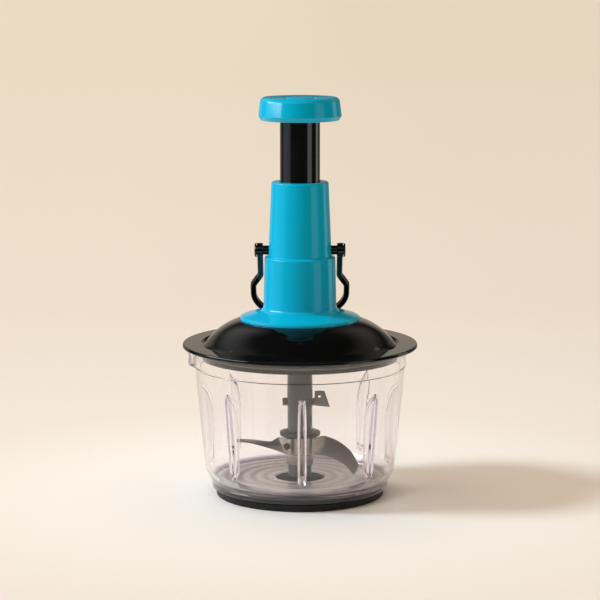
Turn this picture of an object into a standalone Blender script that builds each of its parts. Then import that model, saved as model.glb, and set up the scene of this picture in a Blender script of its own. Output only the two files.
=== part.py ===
"""Plunger food chopper: a clear bowl, a lid with a press-down helical drive, and a bladed shaft.

Metres, +Z up, the origin on the axis where the foot ring meets the table. +X is to the right
and the side that faces -Y is the front.
"""

import math

import bmesh
import bpy
from mathutils import Matrix, Vector

# Driving dimensions
RIM_RADIUS = 0.0744
FOOT_RADIUS = 0.0619
BOWL_HEIGHT = 0.0995
BOWL_WALL = 0.0025
RING_HEIGHT = 0.0057
BRIM_OVERHANG = 0.0081
BRIM_THICKNESS = 0.0021
DOME_RISE = 0.0182
LOWER_TOWER_HEIGHT = 0.0445
UPPER_TOWER_HEIGHT = 0.0525
TUBE_RADIUS = 0.0139
PRESS_TRAVEL = 0.042
DRIVE_LEAD = 0.028
KNOB_RADIUS = 0.0289
KNOB_HEIGHT = 0.016
SHAFT_RADIUS = 0.0091
BLADE_THICKNESS = 0.0012

# Clearances: SLIP between pieces that rest or turn together, FIT between sliding ones
SLIP = 0.0003
FIT = 0.0004

# Eased edges and small steps
FINE_EDGE = 0.0003
EDGE = 0.0006
SOFT_EDGE = 0.001
FINE_CORNER = 0.0011
STEP = 0.0008

# Heights on the axis, each from the one under it
FLOOR_RISE = 0.006
SHAFT_LIFT = 0.0005
SHAFT_SINK = 0.0015
KNOB_GAP = 0.0005
BOWL_FOOT_Z = RING_HEIGHT + SLIP
BOWL_FLOOR_Z = BOWL_FOOT_Z + FLOOR_RISE
RIM_Z = BOWL_FOOT_Z + BOWL_HEIGHT
BRIM_Z = RIM_Z + SLIP
BRIM_TOP_Z = BRIM_Z + BRIM_THICKNESS
DOME_TOP_Z = BRIM_Z + DOME_RISE
FLANGE_Z = DOME_TOP_Z + SLIP
TOWER_SHOULDER_Z = DOME_TOP_Z + LOWER_TOWER_HEIGHT
TOWER_TOP_Z = TOWER_SHOULDER_Z + UPPER_TOWER_HEIGHT
KNOB_BASE_Z = TOWER_TOP_Z + PRESS_TRAVEL + KNOB_GAP
KNOB_TOP_Z = KNOB_BASE_Z + KNOB_HEIGHT
SHAFT_FOOT_Z = BOWL_FLOOR_Z + SHAFT_LIFT
SHAFT_TOP_Z = RIM_Z - SHAFT_SINK
SHAFT_LENGTH = SHAFT_TOP_Z - SHAFT_FOOT_Z

# Radii that several pieces share
BUSH_THICKNESS = 0.0029
MOUTH_WALL = 0.0027
UPPER_TAPER = 0.0022
SHOULDER_LEDGE = 0.0025
LOWER_TAPER = 0.001
FLANGE_WIDTH = 0.0163
HUB_STEP = 0.0008
BRIM_RADIUS = RIM_RADIUS + BRIM_OVERHANG
TUBE_BORE = TUBE_RADIUS + FIT
BUSH_SEAT = TUBE_BORE + BUSH_THICKNESS
MOUTH_RADIUS = BUSH_SEAT + MOUTH_WALL
NECK_RADIUS = MOUTH_RADIUS + UPPER_TAPER
SHOULDER_RADIUS = NECK_RADIUS + SHOULDER_LEDGE
TOWER_FOOT_RADIUS = SHOULDER_RADIUS + LOWER_TAPER
FLANGE_RADIUS = TOWER_FOOT_RADIUS + FLANGE_WIDTH
HUB_RADIUS = SHAFT_RADIUS - HUB_STEP

# Facets round a turned piece
LARGE_STEPS = 32
MID_STEPS = 20
SMALL_STEPS = 12
SCREW_STEPS = 8

MERGE = 1e-6

for old in list(bpy.data.objects):
    bpy.data.objects.remove(old)

parts = bpy.data.collections.new("plunger_food_chopper")
cutters = bpy.data.collections.new("chopper_cutters")
bpy.context.scene.collection.children.link(parts)
bpy.context.scene.collection.children.link(cutters)


def material(name, colour, roughness, metallic=0.0, transmission=0.0):
    """A Principled material with one plain colour."""
    made = bpy.data.materials.new(name)
    made.use_nodes = True
    shader = made.node_tree.nodes["Principled BSDF"]
    shader.inputs["Base Color"].default_value = (*colour, 1.0)
    shader.inputs["Roughness"].default_value = roughness
    shader.inputs["Metallic"].default_value = metallic
    shader.inputs["Transmission Weight"].default_value = transmission
    return made


clear_plastic = material("clear_plastic", (0.93, 0.92, 0.96), 0.03, transmission=1.0)
black_plastic = material("black_plastic", (0.012, 0.012, 0.013), 0.12)
black_rubber = material("black_rubber", (0.015, 0.015, 0.016), 0.6)
cyan_plastic = material("cyan_plastic", (0.0, 0.42, 0.6), 0.18)
silicone = material("silicone", (0.6, 0.6, 0.58), 0.5)
grey_plastic = material("grey_plastic", (0.16, 0.15, 0.145), 0.35)
acetal = material("acetal", (0.8, 0.79, 0.75), 0.4)
blade_steel = material("blade_steel", (0.62, 0.6, 0.57), 0.22, 1.0)
turned_steel = material("turned_steel", (0.7, 0.68, 0.65), 0.25, 1.0)
spring_steel = material("spring_steel", (0.5, 0.5, 0.52), 0.3, 1.0)


def add(name, mesh, look, parent=None, place=(0, 0, 0)):
    """Put a mesh into the scene as a piece of the chopper."""
    piece = bpy.data.objects.new(name, mesh)
    piece.location = place
    piece.parent = parent
    piece.data.materials.append(look)
    parts.objects.link(piece)
    return piece


def axis_empty(name, place=(0, 0, 0), parent=None):
    """An empty on a joint's axis, which carries the pieces that move together."""
    empty = bpy.data.objects.new(name, None)
    empty.location = place
    empty.parent = parent
    parts.objects.link(empty)
    return empty


def rounded(corners, segments=3, is_ring=True):
    """The points of an outline whose corners (across, up, radius) are eased by arcs.

    A corner eased by less than FINE_CORNER gets one straight step.
    """
    points = []
    last = len(corners) - 1
    for index, (across, up, radius) in enumerate(corners):
        here = Vector((across, up))
        if radius == 0 or (not is_ring and index in (0, last)):
            points.append(here)
            continue
        back = (Vector(corners[index - 1][:2]) - here).normalized()
        ahead = (Vector(corners[(index + 1) % len(corners)][:2]) - here).normalized()
        half_angle = back.angle(ahead) / 2
        centre = here + (back + ahead).normalized() * radius / math.sin(half_angle)
        start = here + back * radius / math.tan(half_angle) - centre
        sweep = start.angle_signed(here + ahead * radius / math.tan(half_angle) - centre)
        steps = segments if radius > FINE_CORNER else 1
        for step in range(steps + 1):
            arm = start.copy()
            arm.rotate(Matrix.Rotation(-sweep * step / steps, 2))
            points.append(centre + arm)
    return points


def arc(centre, radius, first_angle, last_angle, segments):
    """Corners with no easing along an arc, as rounded() takes them."""
    corners = []
    for step in range(segments + 1):
        angle = first_angle + (last_angle - first_angle) * step / segments
        across = centre[0] + radius * math.cos(angle)
        corners.append((across, centre[1] + radius * math.sin(angle), 0))
    return corners


def outline_mesh(name, points, is_ring):
    """Edges in the XZ plane, for a Screw modifier to turn."""
    mesh = bpy.data.meshes.new(name)
    edges = [(index, index + 1) for index in range(len(points) - 1)]
    if is_ring:
        edges.append((len(points) - 1, 0))
    mesh.from_pydata([(point[0], 0, point[1]) for point in points], edges, [])
    return mesh


def turned(name, corners, look, steps, parent=None, segments=3, is_ring=True):
    """A profile turned round Z. It runs down its outer side, then up its bore."""
    points = rounded(corners, segments, is_ring)
    piece = add(name, outline_mesh(name, points, is_ring), look, parent)
    screw = piece.modifiers.new("Turn", "SCREW")
    screw.axis = "Z"
    screw.angle = math.tau
    screw.steps = steps
    screw.render_steps = steps
    screw.use_merge_vertices = True
    screw.merge_threshold = MERGE
    screw.use_smooth_shade = False
    return piece


def shade(piece, angle=math.radians(35)):
    """Smooth shading with the corners left sharp."""
    piece.data.shade_smooth()
    piece.data.set_sharp_from_angle(angle=angle)


def as_cutter(piece):
    """Hide a helper and move it to the cutters."""
    parts.objects.unlink(piece)
    cutters.objects.link(piece)
    piece.hide_render = True
    piece.display_type = "WIRE"
    return piece


def combine(piece, other, operation, solver="EXACT"):
    """Cut or join a helper into a piece."""
    boolean = piece.modifiers.new(operation.title(), "BOOLEAN")
    boolean.operation = operation
    boolean.solver = solver
    boolean.object = other
    return boolean


def cylinder_bm(form, radius, length, matrix, sides=SMALL_STEPS):
    """Add a closed cylinder, centred on its matrix, to a bmesh."""
    bmesh.ops.create_cone(
        form,
        cap_ends=True,
        segments=sides,
        radius1=radius,
        radius2=radius,
        depth=length,
        matrix=matrix,
    )


def mesh_of(name, form):
    """Turn a bmesh into a mesh and free it."""
    mesh = bpy.data.meshes.new(name)
    form.to_mesh(mesh)
    form.free()
    return mesh


def rods(name, spans, look, parent=None, sides=SMALL_STEPS):
    """Upright rods in one object. A span is (x, y, bottom, top, radius)."""
    form = bmesh.new()
    for x, y, bottom, top, radius in spans:
        middle = Matrix.Translation((x, y, (bottom + top) / 2))
        cylinder_bm(form, radius, top - bottom, middle, sides)
    return add(name, mesh_of(name, form), look, parent)


def along_x(x):
    """A matrix that lays a cylinder along X, centred x from the origin."""
    return Matrix.Translation((x, 0, 0)) @ Matrix.Rotation(math.pi / 2, 4, "Y")


def flat_piece(name, points, thickness, look):
    """A flat outline made into a plate, as a filled curve that becomes a mesh."""
    curve = bpy.data.curves.new(name, "CURVE")
    curve.dimensions = "2D"
    curve.fill_mode = "BOTH"
    curve.extrude = thickness / 2
    spline = curve.splines.new("POLY")
    spline.points.add(len(points) - 1)
    for spot, point in zip(spline.points, points):
        spot.co = (point[0], point[1], 0, 1)
    spline.use_cyclic_u = True
    return welded(name, curve, look)


def welded(name, curve, look):
    """A curve as a closed mesh, its loose caps joined on."""
    guide = bpy.data.objects.new(name + "_guide", curve)
    parts.objects.link(guide)
    bpy.context.view_layer.update()
    graph = bpy.context.evaluated_depsgraph_get()
    mesh = bpy.data.meshes.new_from_object(guide.evaluated_get(graph))
    bpy.data.objects.remove(guide)
    form = bmesh.new()
    form.from_mesh(mesh)
    bmesh.ops.remove_doubles(form, verts=form.verts, dist=MERGE)
    bmesh.ops.recalc_face_normals(form, faces=form.faces)
    form.to_mesh(mesh)
    form.free()
    mesh.materials.clear()
    return add(name, mesh, look)


# The bowl: base ring, clear vessel with its flutes and lug, well disc and pivot pin

RING_SETBACK = 0.0024
RING_WIDTH = 0.0115
TONGUE_SETBACK = 0.0023
TONGUE_WIDTH = 0.004
TONGUE_RISE = 0.0025
RING_RADIUS = FOOT_RADIUS - RING_SETBACK
RING_BORE = RING_RADIUS - RING_WIDTH
TONGUE_OUTER = RING_RADIUS - TONGUE_SETBACK
TONGUE_INNER = TONGUE_OUTER - TONGUE_WIDTH
TONGUE_TOP_Z = RING_HEIGHT + TONGUE_RISE


def make_base_ring():
    ring = turned(
        "base_ring",
        [
            (RING_RADIUS - SOFT_EDGE, RING_HEIGHT, 0),
            (RING_RADIUS, RING_HEIGHT - SOFT_EDGE, FINE_EDGE),
            (RING_RADIUS - EDGE, 0, FINE_EDGE),
            (RING_BORE, 0, 0),
            (RING_BORE, RING_HEIGHT, 0),
            (TONGUE_INNER, RING_HEIGHT, 0),
            (TONGUE_INNER, TONGUE_TOP_Z, 0),
            (TONGUE_OUTER, TONGUE_TOP_Z, 0),
            (TONGUE_OUTER, RING_HEIGHT, 0),
        ],
        black_rubber,
        LARGE_STEPS,
        segments=2,
    )
    shade(ring)


# The bowl's outer line, in shares of its spread from foot to rim and of its height
WALL_TOP = (0.848, 0.7156)
WALL_FOOT = (0.456, 0.208)
CORNER = (0.344, 0.1156)
BASE_BAND = (0.048, 0.0482)
LIP_HEIGHT = 0.0135
LIP_WALL = 0.0035
WELL_RADIUS = 0.0176
WELL_DEPTH = 0.0028
WELL_SKIN = 0.0022
CORNER_ROUND = 0.010
INNER_ROUND = 0.008
FLOOR_ROUND = 0.003
LIP_UNDER_Z = RIM_Z - LIP_HEIGHT
BOWL_MOUTH = RIM_RADIUS - LIP_WALL
WELL_TOP_Z = BOWL_FLOOR_Z - WELL_DEPTH
WELL_UNDER_Z = WELL_TOP_Z - WELL_SKIN


def wall_point(share, inset=0):
    """A point (radius, height) on the bowl's outer line, moved in by an inset."""
    radius = FOOT_RADIUS + share[0] * (RIM_RADIUS - FOOT_RADIUS) - inset
    return (radius, BOWL_FOOT_Z + share[1] * BOWL_HEIGHT)


FLOOR_EDGE = wall_point(CORNER, 2 * BOWL_WALL)[0]
FLUTE_COUNT = 8
FLUTE_TURN = math.radians(1.2)
CREST_SETBACK = 0.0012
CREST_RADIUS = FLOOR_EDGE - CREST_SETBACK
RIB_WIDTH = 0.0064
CROWN_RISE = 0.026
CROWN_STEPS = 5
RIB_MARGIN = 0.001
GROOVE_WIDTH = 0.0034
GROOVE_SKIN = 0.0018
GROOVE_RISE = 0.0079
FLUTE_BOTTOM_Z = BOWL_FLOOR_Z + GROOVE_RISE
FLUTE_TOP_Z = wall_point(WALL_TOP)[1] + EDGE


def flute_side(inset, outer_line, low, high):
    """The side view of a flute, radius across and height up: an upright crest and a curved top.

    The outer line runs from its foot to its top.
    """
    crest = CREST_RADIUS + inset
    reach = wall_point(WALL_TOP, BOWL_WALL)[0] - CREST_RADIUS
    crown = []
    for step in range(CROWN_STEPS + 1):
        angle = math.pi / 2 * step / CROWN_STEPS
        across = crest + reach * (1 - math.cos(angle))
        crown.append((across, high - CROWN_RISE * (1 - math.sin(angle)), 0))
    return rounded([(crest, low, SOFT_EDGE), *crown, *reversed(outer_line)], segments=2)


def flute_set(name, side, width):
    """One plate a flute, each stood on edge and turned to its place, in one helper."""
    plate = flat_piece(name, side, width, clear_plastic)
    form = bmesh.new()
    for index in range(FLUTE_COUNT):
        turn = FLUTE_TURN + math.tau * index / FLUTE_COUNT
        copy = plate.data.copy()
        copy.transform(Matrix.Rotation(turn, 4, "Z") @ Matrix.Rotation(math.pi / 2, 4, "X"))
        form.from_mesh(copy)
        bpy.data.meshes.remove(copy)
    bpy.data.objects.remove(plate)
    return as_cutter(add(name, mesh_of(name, form), clear_plastic))


LUG_PROUD = 0.0041
LUG_WIDTH = 0.011
LUG_EASE = 0.0015
LUG_DROP = 0.0035


def make_lug():
    """A rounded block on the bowl's left, its inner end inside the rim band."""
    inner = BOWL_MOUTH + LUG_EASE
    outer = RIM_RADIUS + LUG_PROUD
    low = LIP_UNDER_Z - LUG_EASE
    high = RIM_Z - LUG_DROP
    form = bmesh.new()
    size = Matrix.Diagonal((outer - inner, LUG_WIDTH, high - low, 1))
    place = Matrix.Translation((-(outer + inner) / 2, 0, (high + low) / 2))
    bmesh.ops.create_cube(form, size=1, matrix=place @ size)
    lug = as_cutter(add("bowl_lug", mesh_of("bowl_lug", form), clear_plastic))
    ease = lug.modifiers.new("Ease", "BEVEL")
    ease.width = LUG_EASE
    ease.segments = 2
    return lug


def make_bowl():
    floor_under = BOWL_FLOOR_Z - BOWL_WALL
    foot_wall = TONGUE_INNER - WELL_SKIN
    profile = [
        (RIM_RADIUS, RIM_Z, STEP),
        (RIM_RADIUS, LIP_UNDER_Z, FINE_EDGE),
        (RIM_RADIUS - SOFT_EDGE, LIP_UNDER_Z - STEP, 0),
        (*wall_point(WALL_TOP), 0),
        (*wall_point(WALL_FOOT), 0),
        (*wall_point(CORNER), CORNER_ROUND),
        (*wall_point(BASE_BAND), SOFT_EDGE),
        (FOOT_RADIUS, BOWL_FOOT_Z, FINE_EDGE),
        (TONGUE_OUTER + SLIP, BOWL_FOOT_Z, 0),
        (TONGUE_OUTER + SLIP, TONGUE_TOP_Z + SLIP, 0),
        (TONGUE_INNER - SLIP, TONGUE_TOP_Z + SLIP, 0),
        (TONGUE_INNER - SLIP, BOWL_FOOT_Z, 0),
        (foot_wall, BOWL_FOOT_Z, 0),
        (foot_wall - STEP, floor_under, 0),
        (WELL_RADIUS + WELL_SKIN, floor_under, 0),
        (WELL_RADIUS + WELL_SKIN - FIT, WELL_UNDER_Z, 0),
        (PIN_RADIUS + SLIP, WELL_UNDER_Z, 0),
        (PIN_RADIUS + SLIP, WELL_TOP_Z, 0),
        (WELL_RADIUS, WELL_TOP_Z, 0),
        (WELL_RADIUS, BOWL_FLOOR_Z, FINE_EDGE),
        (FLOOR_EDGE, BOWL_FLOOR_Z, FLOOR_ROUND),
        (*wall_point(WALL_FOOT, BOWL_WALL), INNER_ROUND),
        (*wall_point(WALL_TOP, BOWL_WALL), 0),
        (BOWL_MOUTH, LIP_UNDER_Z, 0),
        (BOWL_MOUTH, RIM_Z, EDGE),
    ]
    bowl = turned("bowl", profile, clear_plastic, LARGE_STEPS, segments=2)
    rib_low = BOWL_FLOOR_Z - RIB_MARGIN
    rib_top = FLUTE_TOP_Z + RIB_MARGIN
    in_wall = [
        (FLOOR_EDGE, rib_low, 0),
        (*wall_point(WALL_FOOT, BOWL_WALL / 2), 0),
        (wall_point(WALL_TOP, BOWL_WALL / 2)[0], rib_top, 0),
    ]
    ribs = flute_set("bowl_ribs", flute_side(0, in_wall, rib_low, rib_top), RIB_WIDTH)
    past_wall = [(BRIM_RADIUS, FLUTE_BOTTOM_Z, 0), (BRIM_RADIUS, FLUTE_TOP_Z, 0)]
    groove_side = flute_side(GROOVE_SKIN, past_wall, FLUTE_BOTTOM_Z, FLUTE_TOP_Z)
    grooves = flute_set("bowl_grooves", groove_side, GROOVE_WIDTH)
    # At some rim sizes the exact solver drops the bowl's body in this join
    combine(bowl, ribs, "UNION", "MANIFOLD")
    combine(bowl, grooves, "DIFFERENCE")
    combine(bowl, make_lug(), "UNION")
    shade(bowl)


PIN_RADIUS = 0.0025
PIN_LENGTH = 0.017
PIN_NOSE = 0.0012
PIN_TOP_Z = SHAFT_FOOT_Z + PIN_LENGTH
SEAT_BOSS_RADIUS = 0.0058


def make_pivot():
    seat_bottom = WELL_TOP_Z + SLIP
    seat_top = BOWL_FLOOR_Z - EDGE
    seat = turned(
        "pivot_seat",
        [
            (WELL_RADIUS - SLIP, seat_top, FINE_EDGE),
            (WELL_RADIUS - SLIP, seat_bottom, 0),
            (PIN_RADIUS + SLIP, seat_bottom, 0),
            (PIN_RADIUS + SLIP, SHAFT_FOOT_Z - SLIP, 0),
            (SEAT_BOSS_RADIUS, SHAFT_FOOT_Z - SLIP, FINE_EDGE),
            (SEAT_BOSS_RADIUS + FIT, seat_top, 0),
        ],
        black_plastic,
        MID_STEPS,
        segments=1,
    )
    shade(seat)
    pin = turned(
        "pivot_pin",
        [
            (0, PIN_TOP_Z, 0),
            (PIN_RADIUS, PIN_TOP_Z, PIN_NOSE),
            (PIN_RADIUS, WELL_UNDER_Z - FIT, 0),
            (0, WELL_UNDER_Z - FIT, 0),
        ],
        turned_steel,
        SMALL_STEPS,
        segments=2,
        is_ring=False,
    )
    shade(pin)


# The lid: cover with brim, inner plate, seal, tower, bearing, bushes and screws

COVER_WALL = 0.0022
COVER_LEDGE = 0.0119
BRIM_WIDTH = 0.014
BEAD_HEIGHT = 0.0004
COVER_HOLE = FLANGE_RADIUS - COVER_LEDGE
DOME_FOOT = BRIM_RADIUS - BRIM_WIDTH
DOME_FOOT_EASE = 0.0021
DOME_ROUNDNESS = 1.534
BOSS_SHARE = 0.3045
BOSS_RADIUS = 0.0040
BOSS_CIRCLE = FLANGE_RADIUS + BOSS_SHARE * (DOME_FOOT - FLANGE_RADIUS)
PILOT_RADIUS = 0.0016
PILOT_DEPTH = 0.009
SCREW_RADIUS = 0.0013
SCREW_HEAD_RADIUS = 0.0029
SCREW_HEAD_HEIGHT = 0.0015
SCREW_COUNT = 4
OVERCUT = 0.002
FLANGE_SCREW_SETBACK = 0.0074
FLANGE_SCREW_CIRCLE = FLANGE_RADIUS - FLANGE_SCREW_SETBACK
SKIRT_DEPTH = 0.0084
PLATE_THICKNESS = 0.002
PLATE_BOTTOM_Z = BRIM_Z - SKIRT_DEPTH
PLATE_TOP_Z = PLATE_BOTTOM_Z + PLATE_THICKNESS
BOSS_BOTTOM_Z = PLATE_TOP_Z + FIT


def round_places(circle, count, turn=math.radians(45)):
    """Places spaced evenly on a circle round Z."""
    angles = [turn + math.tau * index / count for index in range(count)]
    return [(circle * math.cos(angle), circle * math.sin(angle)) for angle in angles]


def dome_circle():
    """The centre and radius of the dome's section, from the flange's edge to the brim."""
    top = Vector((FLANGE_RADIUS + STEP, FLANGE_Z))
    foot = Vector((DOME_FOOT - DOME_FOOT_EASE, BRIM_TOP_Z))
    chord = foot - top
    radius = DOME_ROUNDNESS * chord.length
    depth = math.sqrt(radius ** 2 - chord.length ** 2 / 4)
    inward = Vector((chord.y, -chord.x)).normalized()
    return (top + foot) / 2 + inward * depth, radius


def dome_height(radius_out):
    """The height of the dome's outer face at a distance from the axis."""
    centre, radius = dome_circle()
    return centre.y + math.sqrt(radius ** 2 - (radius_out - centre.x) ** 2)


def dome_arc(inset, first_r, last_r, segments):
    """Corners along the dome's section between two distances from the axis."""
    centre, radius = dome_circle()
    first = math.acos((first_r - centre.x) / (radius - inset))
    last = math.acos((last_r - centre.x) / (radius - inset))
    return arc(centre, radius - inset, first, last, segments)


def make_cover(lid):
    bead_foot = BRIM_TOP_Z - BEAD_HEIGHT
    rim_edge = BRIM_Z - BEAD_HEIGHT
    dome_end = DOME_FOOT - DOME_FOOT_EASE
    profile = [
        (COVER_HOLE, DOME_TOP_Z, 0),
        *dome_arc(0, FLANGE_RADIUS + STEP, dome_end, 5),
        (DOME_FOOT, bead_foot, 0),
        (DOME_FOOT + SOFT_EDGE, bead_foot, 0),
        (DOME_FOOT + SOFT_EDGE + BEAD_HEIGHT, BRIM_TOP_Z, 0),
        (BRIM_RADIUS - BEAD_HEIGHT, BRIM_TOP_Z, STEP),
        (BRIM_RADIUS, rim_edge, EDGE),
        (BRIM_RADIUS - 2 * STEP, rim_edge, 0),
        (BRIM_RADIUS - 2 * STEP - BEAD_HEIGHT, BRIM_Z, 0),
        *dome_arc(COVER_WALL, dome_end - 2 * STEP, FLANGE_RADIUS - STEP, 4),
        (COVER_HOLE, DOME_TOP_Z - COVER_WALL, 0),
    ]
    cover = turned("lid_cover", profile, black_plastic, LARGE_STEPS, lid, segments=2)
    boss_top = dome_height(BOSS_CIRCLE + BOSS_RADIUS) - COVER_WALL / 2
    bosses = []
    holes = []
    for x, y in round_places(BOSS_CIRCLE, SCREW_COUNT):
        bosses.append((x, y, BOSS_BOTTOM_Z, boss_top, BOSS_RADIUS))
        holes.append((x, y, BOSS_BOTTOM_Z - OVERCUT, BOSS_BOTTOM_Z + PILOT_DEPTH, PILOT_RADIUS))
    for x, y in round_places(FLANGE_SCREW_CIRCLE, SCREW_COUNT, 0):
        holes.append((x, y, DOME_TOP_Z - COVER_WALL - OVERCUT, DOME_TOP_Z + OVERCUT, PILOT_RADIUS))
    combine(cover, as_cutter(rods("cover_bosses", bosses, black_plastic, sides=SCREW_STEPS)), "UNION")
    combine(cover, as_cutter(rods("cover_holes", holes, black_plastic, sides=SCREW_STEPS)), "DIFFERENCE")
    shade(cover)


SKIRT_GAP = 0.0021
SKIRT_WALL = 0.002
SKIRT_RADIUS = BOWL_MOUTH - SKIRT_GAP
GROOVE_LOW = 0.0026
SEAL_GROOVE_HEIGHT = 0.003
GROOVE_FLARE = 0.0002
SLEEVE_GAP = 0.0007
SLEEVE_WALL = 0.0042
SLEEVE_RELIEF = 0.0012
SPIGOT_DEPTH = 0.005
SLEEVE_BORE = SHAFT_RADIUS + SLEEVE_GAP
SLEEVE_RADIUS = SLEEVE_BORE + SLEEVE_WALL
SPIGOT_BOTTOM_Z = DOME_TOP_Z - SPIGOT_DEPTH
SLEEVE_TOP_Z = SPIGOT_BOTTOM_Z - SLIP


def make_lid_plate(lid):
    groove_low = PLATE_BOTTOM_Z + GROOVE_LOW
    groove_high = groove_low + SEAL_GROOVE_HEIGHT
    groove_radius = SKIRT_RADIUS - STEP
    relief_z = SHAFT_TOP_Z + SHAFT_LIFT
    plate = turned(
        "lid_plate",
        [
            (SLEEVE_RADIUS, SLEEVE_TOP_Z, 0),
            (SLEEVE_RADIUS, PLATE_TOP_Z, 0),
            (SKIRT_RADIUS - SKIRT_WALL, PLATE_TOP_Z, SOFT_EDGE),
            (SKIRT_RADIUS - SKIRT_WALL, BRIM_Z - SLIP, 0),
            (SKIRT_RADIUS, BRIM_Z - SLIP, 0),
            (SKIRT_RADIUS, groove_high, 0),
            (groove_radius, groove_high - GROOVE_FLARE, 0),
            (groove_radius, groove_low + GROOVE_FLARE, 0),
            (SKIRT_RADIUS, groove_low, 0),
            (SKIRT_RADIUS, PLATE_BOTTOM_Z, SOFT_EDGE),
            (SLEEVE_BORE, PLATE_BOTTOM_Z, 0),
            (SLEEVE_BORE, relief_z, 0),
            (SLEEVE_BORE + SLEEVE_RELIEF, relief_z + GROOVE_FLARE, 0),
            (SLEEVE_BORE + SLEEVE_RELIEF, SLEEVE_TOP_Z, 0),
        ],
        black_plastic,
        LARGE_STEPS,
        lid,
        segments=2,
    )
    holes = []
    for x, y in round_places(BOSS_CIRCLE, SCREW_COUNT):
        holes.append((x, y, PLATE_BOTTOM_Z - OVERCUT, PLATE_TOP_Z + OVERCUT, PILOT_RADIUS))
    combine(plate, as_cutter(rods("plate_holes", holes, black_plastic, sides=SCREW_STEPS)), "DIFFERENCE")
    shade(plate)
    seal_low = groove_low + GROOVE_FLARE + SLIP
    seal_high = groove_high - GROOVE_FLARE - SLIP
    seal_inner = groove_radius + SLIP
    seal = turned(
        "lid_seal",
        [
            (SKIRT_RADIUS, seal_high, 0),
            (BOWL_MOUTH - SLIP, (seal_low + seal_high) / 2 + SLIP, FINE_EDGE),
            (BOWL_MOUTH - 2 * SLIP, (seal_low + seal_high) / 2 - SLIP, 0),
            (SKIRT_RADIUS, seal_low, 0),
            (seal_inner, seal_low, 0),
            (seal_inner, seal_high, 0),
        ],
        silicone,
        LARGE_STEPS,
        lid,
        segments=1,
    )
    shade(seal)


TOWER_WALL = 0.0022
TOWER_ROOT = 0.0069
TOWER_ROOT_ROUND = 0.004
SHOULDER_ROUND = 0.0012
LIP_THICKNESS = 0.002
SPIGOT_WALL = 0.0027
SPIGOT_STEP = 0.0019
CONE_RISE = 0.0038
PIN_HOLE_LENGTH = 0.009
SPIGOT_OUTER = COVER_HOLE - SLIP
SPIGOT_BORE = SPIGOT_OUTER - SPIGOT_WALL
BUSH_DROP = 0.0026
BUSH_LENGTH = 0.0139
BUSH_TOP_Z = TOWER_TOP_Z - BUSH_DROP
BUSH_BOTTOM_Z = BUSH_TOP_Z - BUSH_LENGTH


def make_tower(lid):
    lip_top = FLANGE_Z + LIP_THICKNESS
    spigot_top = FLANGE_Z + SPIGOT_STEP
    mouth_under = BUSH_TOP_Z + FIT
    profile = [
        (TUBE_BORE, TOWER_TOP_Z, FINE_EDGE),
        (MOUTH_RADIUS, TOWER_TOP_Z, SHOULDER_ROUND),
        (NECK_RADIUS, TOWER_SHOULDER_Z + EDGE, EDGE),
        (SHOULDER_RADIUS, TOWER_SHOULDER_Z, SHOULDER_ROUND),
        (TOWER_FOOT_RADIUS, FLANGE_Z + TOWER_ROOT, TOWER_ROOT_ROUND),
        (FLANGE_RADIUS - SHOULDER_ROUND, lip_top + EDGE, EDGE),
        (FLANGE_RADIUS - STEP, lip_top, 0),
        (FLANGE_RADIUS, lip_top, FINE_EDGE),
        (FLANGE_RADIUS, FLANGE_Z, FINE_EDGE),
        (SPIGOT_OUTER, FLANGE_Z, 0),
        (SPIGOT_OUTER, SPIGOT_BOTTOM_Z, 0),
        (SPIGOT_BORE, SPIGOT_BOTTOM_Z, 0),
        (SPIGOT_BORE, spigot_top, 0),
        (TOWER_FOOT_RADIUS - TOWER_WALL, spigot_top + CONE_RISE, 0),
        (SHOULDER_RADIUS - TOWER_WALL, TOWER_SHOULDER_Z - TOWER_WALL, SOFT_EDGE),
        (NECK_RADIUS - TOWER_WALL, TOWER_SHOULDER_Z - TOWER_WALL + FIT, 0),
        (BUSH_SEAT, BUSH_BOTTOM_Z - FIT, 0),
        (BUSH_SEAT, mouth_under, 0),
        (TUBE_BORE, mouth_under, 0),
    ]
    tower = turned("tower", profile, cyan_plastic, LARGE_STEPS, lid, segments=2)
    form = bmesh.new()
    for x, y in round_places(FLANGE_SCREW_CIRCLE, SCREW_COUNT, 0):
        place = Matrix.Translation((x, y, FLANGE_Z))
        cylinder_bm(form, PILOT_RADIUS, SCREW_BITE * 2, place, SCREW_STEPS)
    for side in (-1, 1):
        lay = Matrix.Translation((0, 0, BAIL_PIVOT_Z)) @ along_x(side * NECK_RADIUS)
        cylinder_bm(form, BAIL_PIN_RADIUS + SLIP, PIN_HOLE_LENGTH, lay)
    holes = as_cutter(add("tower_holes", mesh_of("tower_holes", form), cyan_plastic))
    combine(tower, holes, "DIFFERENCE")
    shade(tower)


SCREW_BITE = 0.003
BOSS_BITE = 0.008


def screw_set(name, places, under_head_z, tip_z, lid):
    """Pan-head screws that are driven upwards, alike but for their places."""
    head_z = under_head_z - SCREW_HEAD_HEIGHT
    profile = [
        (0, tip_z, 0),
        (SCREW_RADIUS, tip_z, 0),
        (SCREW_RADIUS, under_head_z, 0),
        (SCREW_HEAD_RADIUS, under_head_z, 0),
        (SCREW_HEAD_RADIUS, head_z, EDGE),
        (0, head_z, 0),
    ]
    for index, (x, y) in enumerate(places, 1):
        label = f"{name}_{index}"
        screw = turned(label, profile, turned_steel, SCREW_STEPS, lid, segments=1, is_ring=False)
        screw.location = (x, y, 0)
        shade(screw)


def make_lid_screws(lid):
    plate_places = round_places(BOSS_CIRCLE, SCREW_COUNT)
    screw_set("plate_screw", plate_places, PLATE_BOTTOM_Z - SLIP, BOSS_BOTTOM_Z + BOSS_BITE, lid)
    flange_places = round_places(FLANGE_SCREW_CIRCLE, SCREW_COUNT, 0)
    under_top = DOME_TOP_Z - COVER_WALL
    screw_set("tower_screw", flange_places, under_top - SLIP, FLANGE_Z + SCREW_BITE - FIT, lid)


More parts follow.
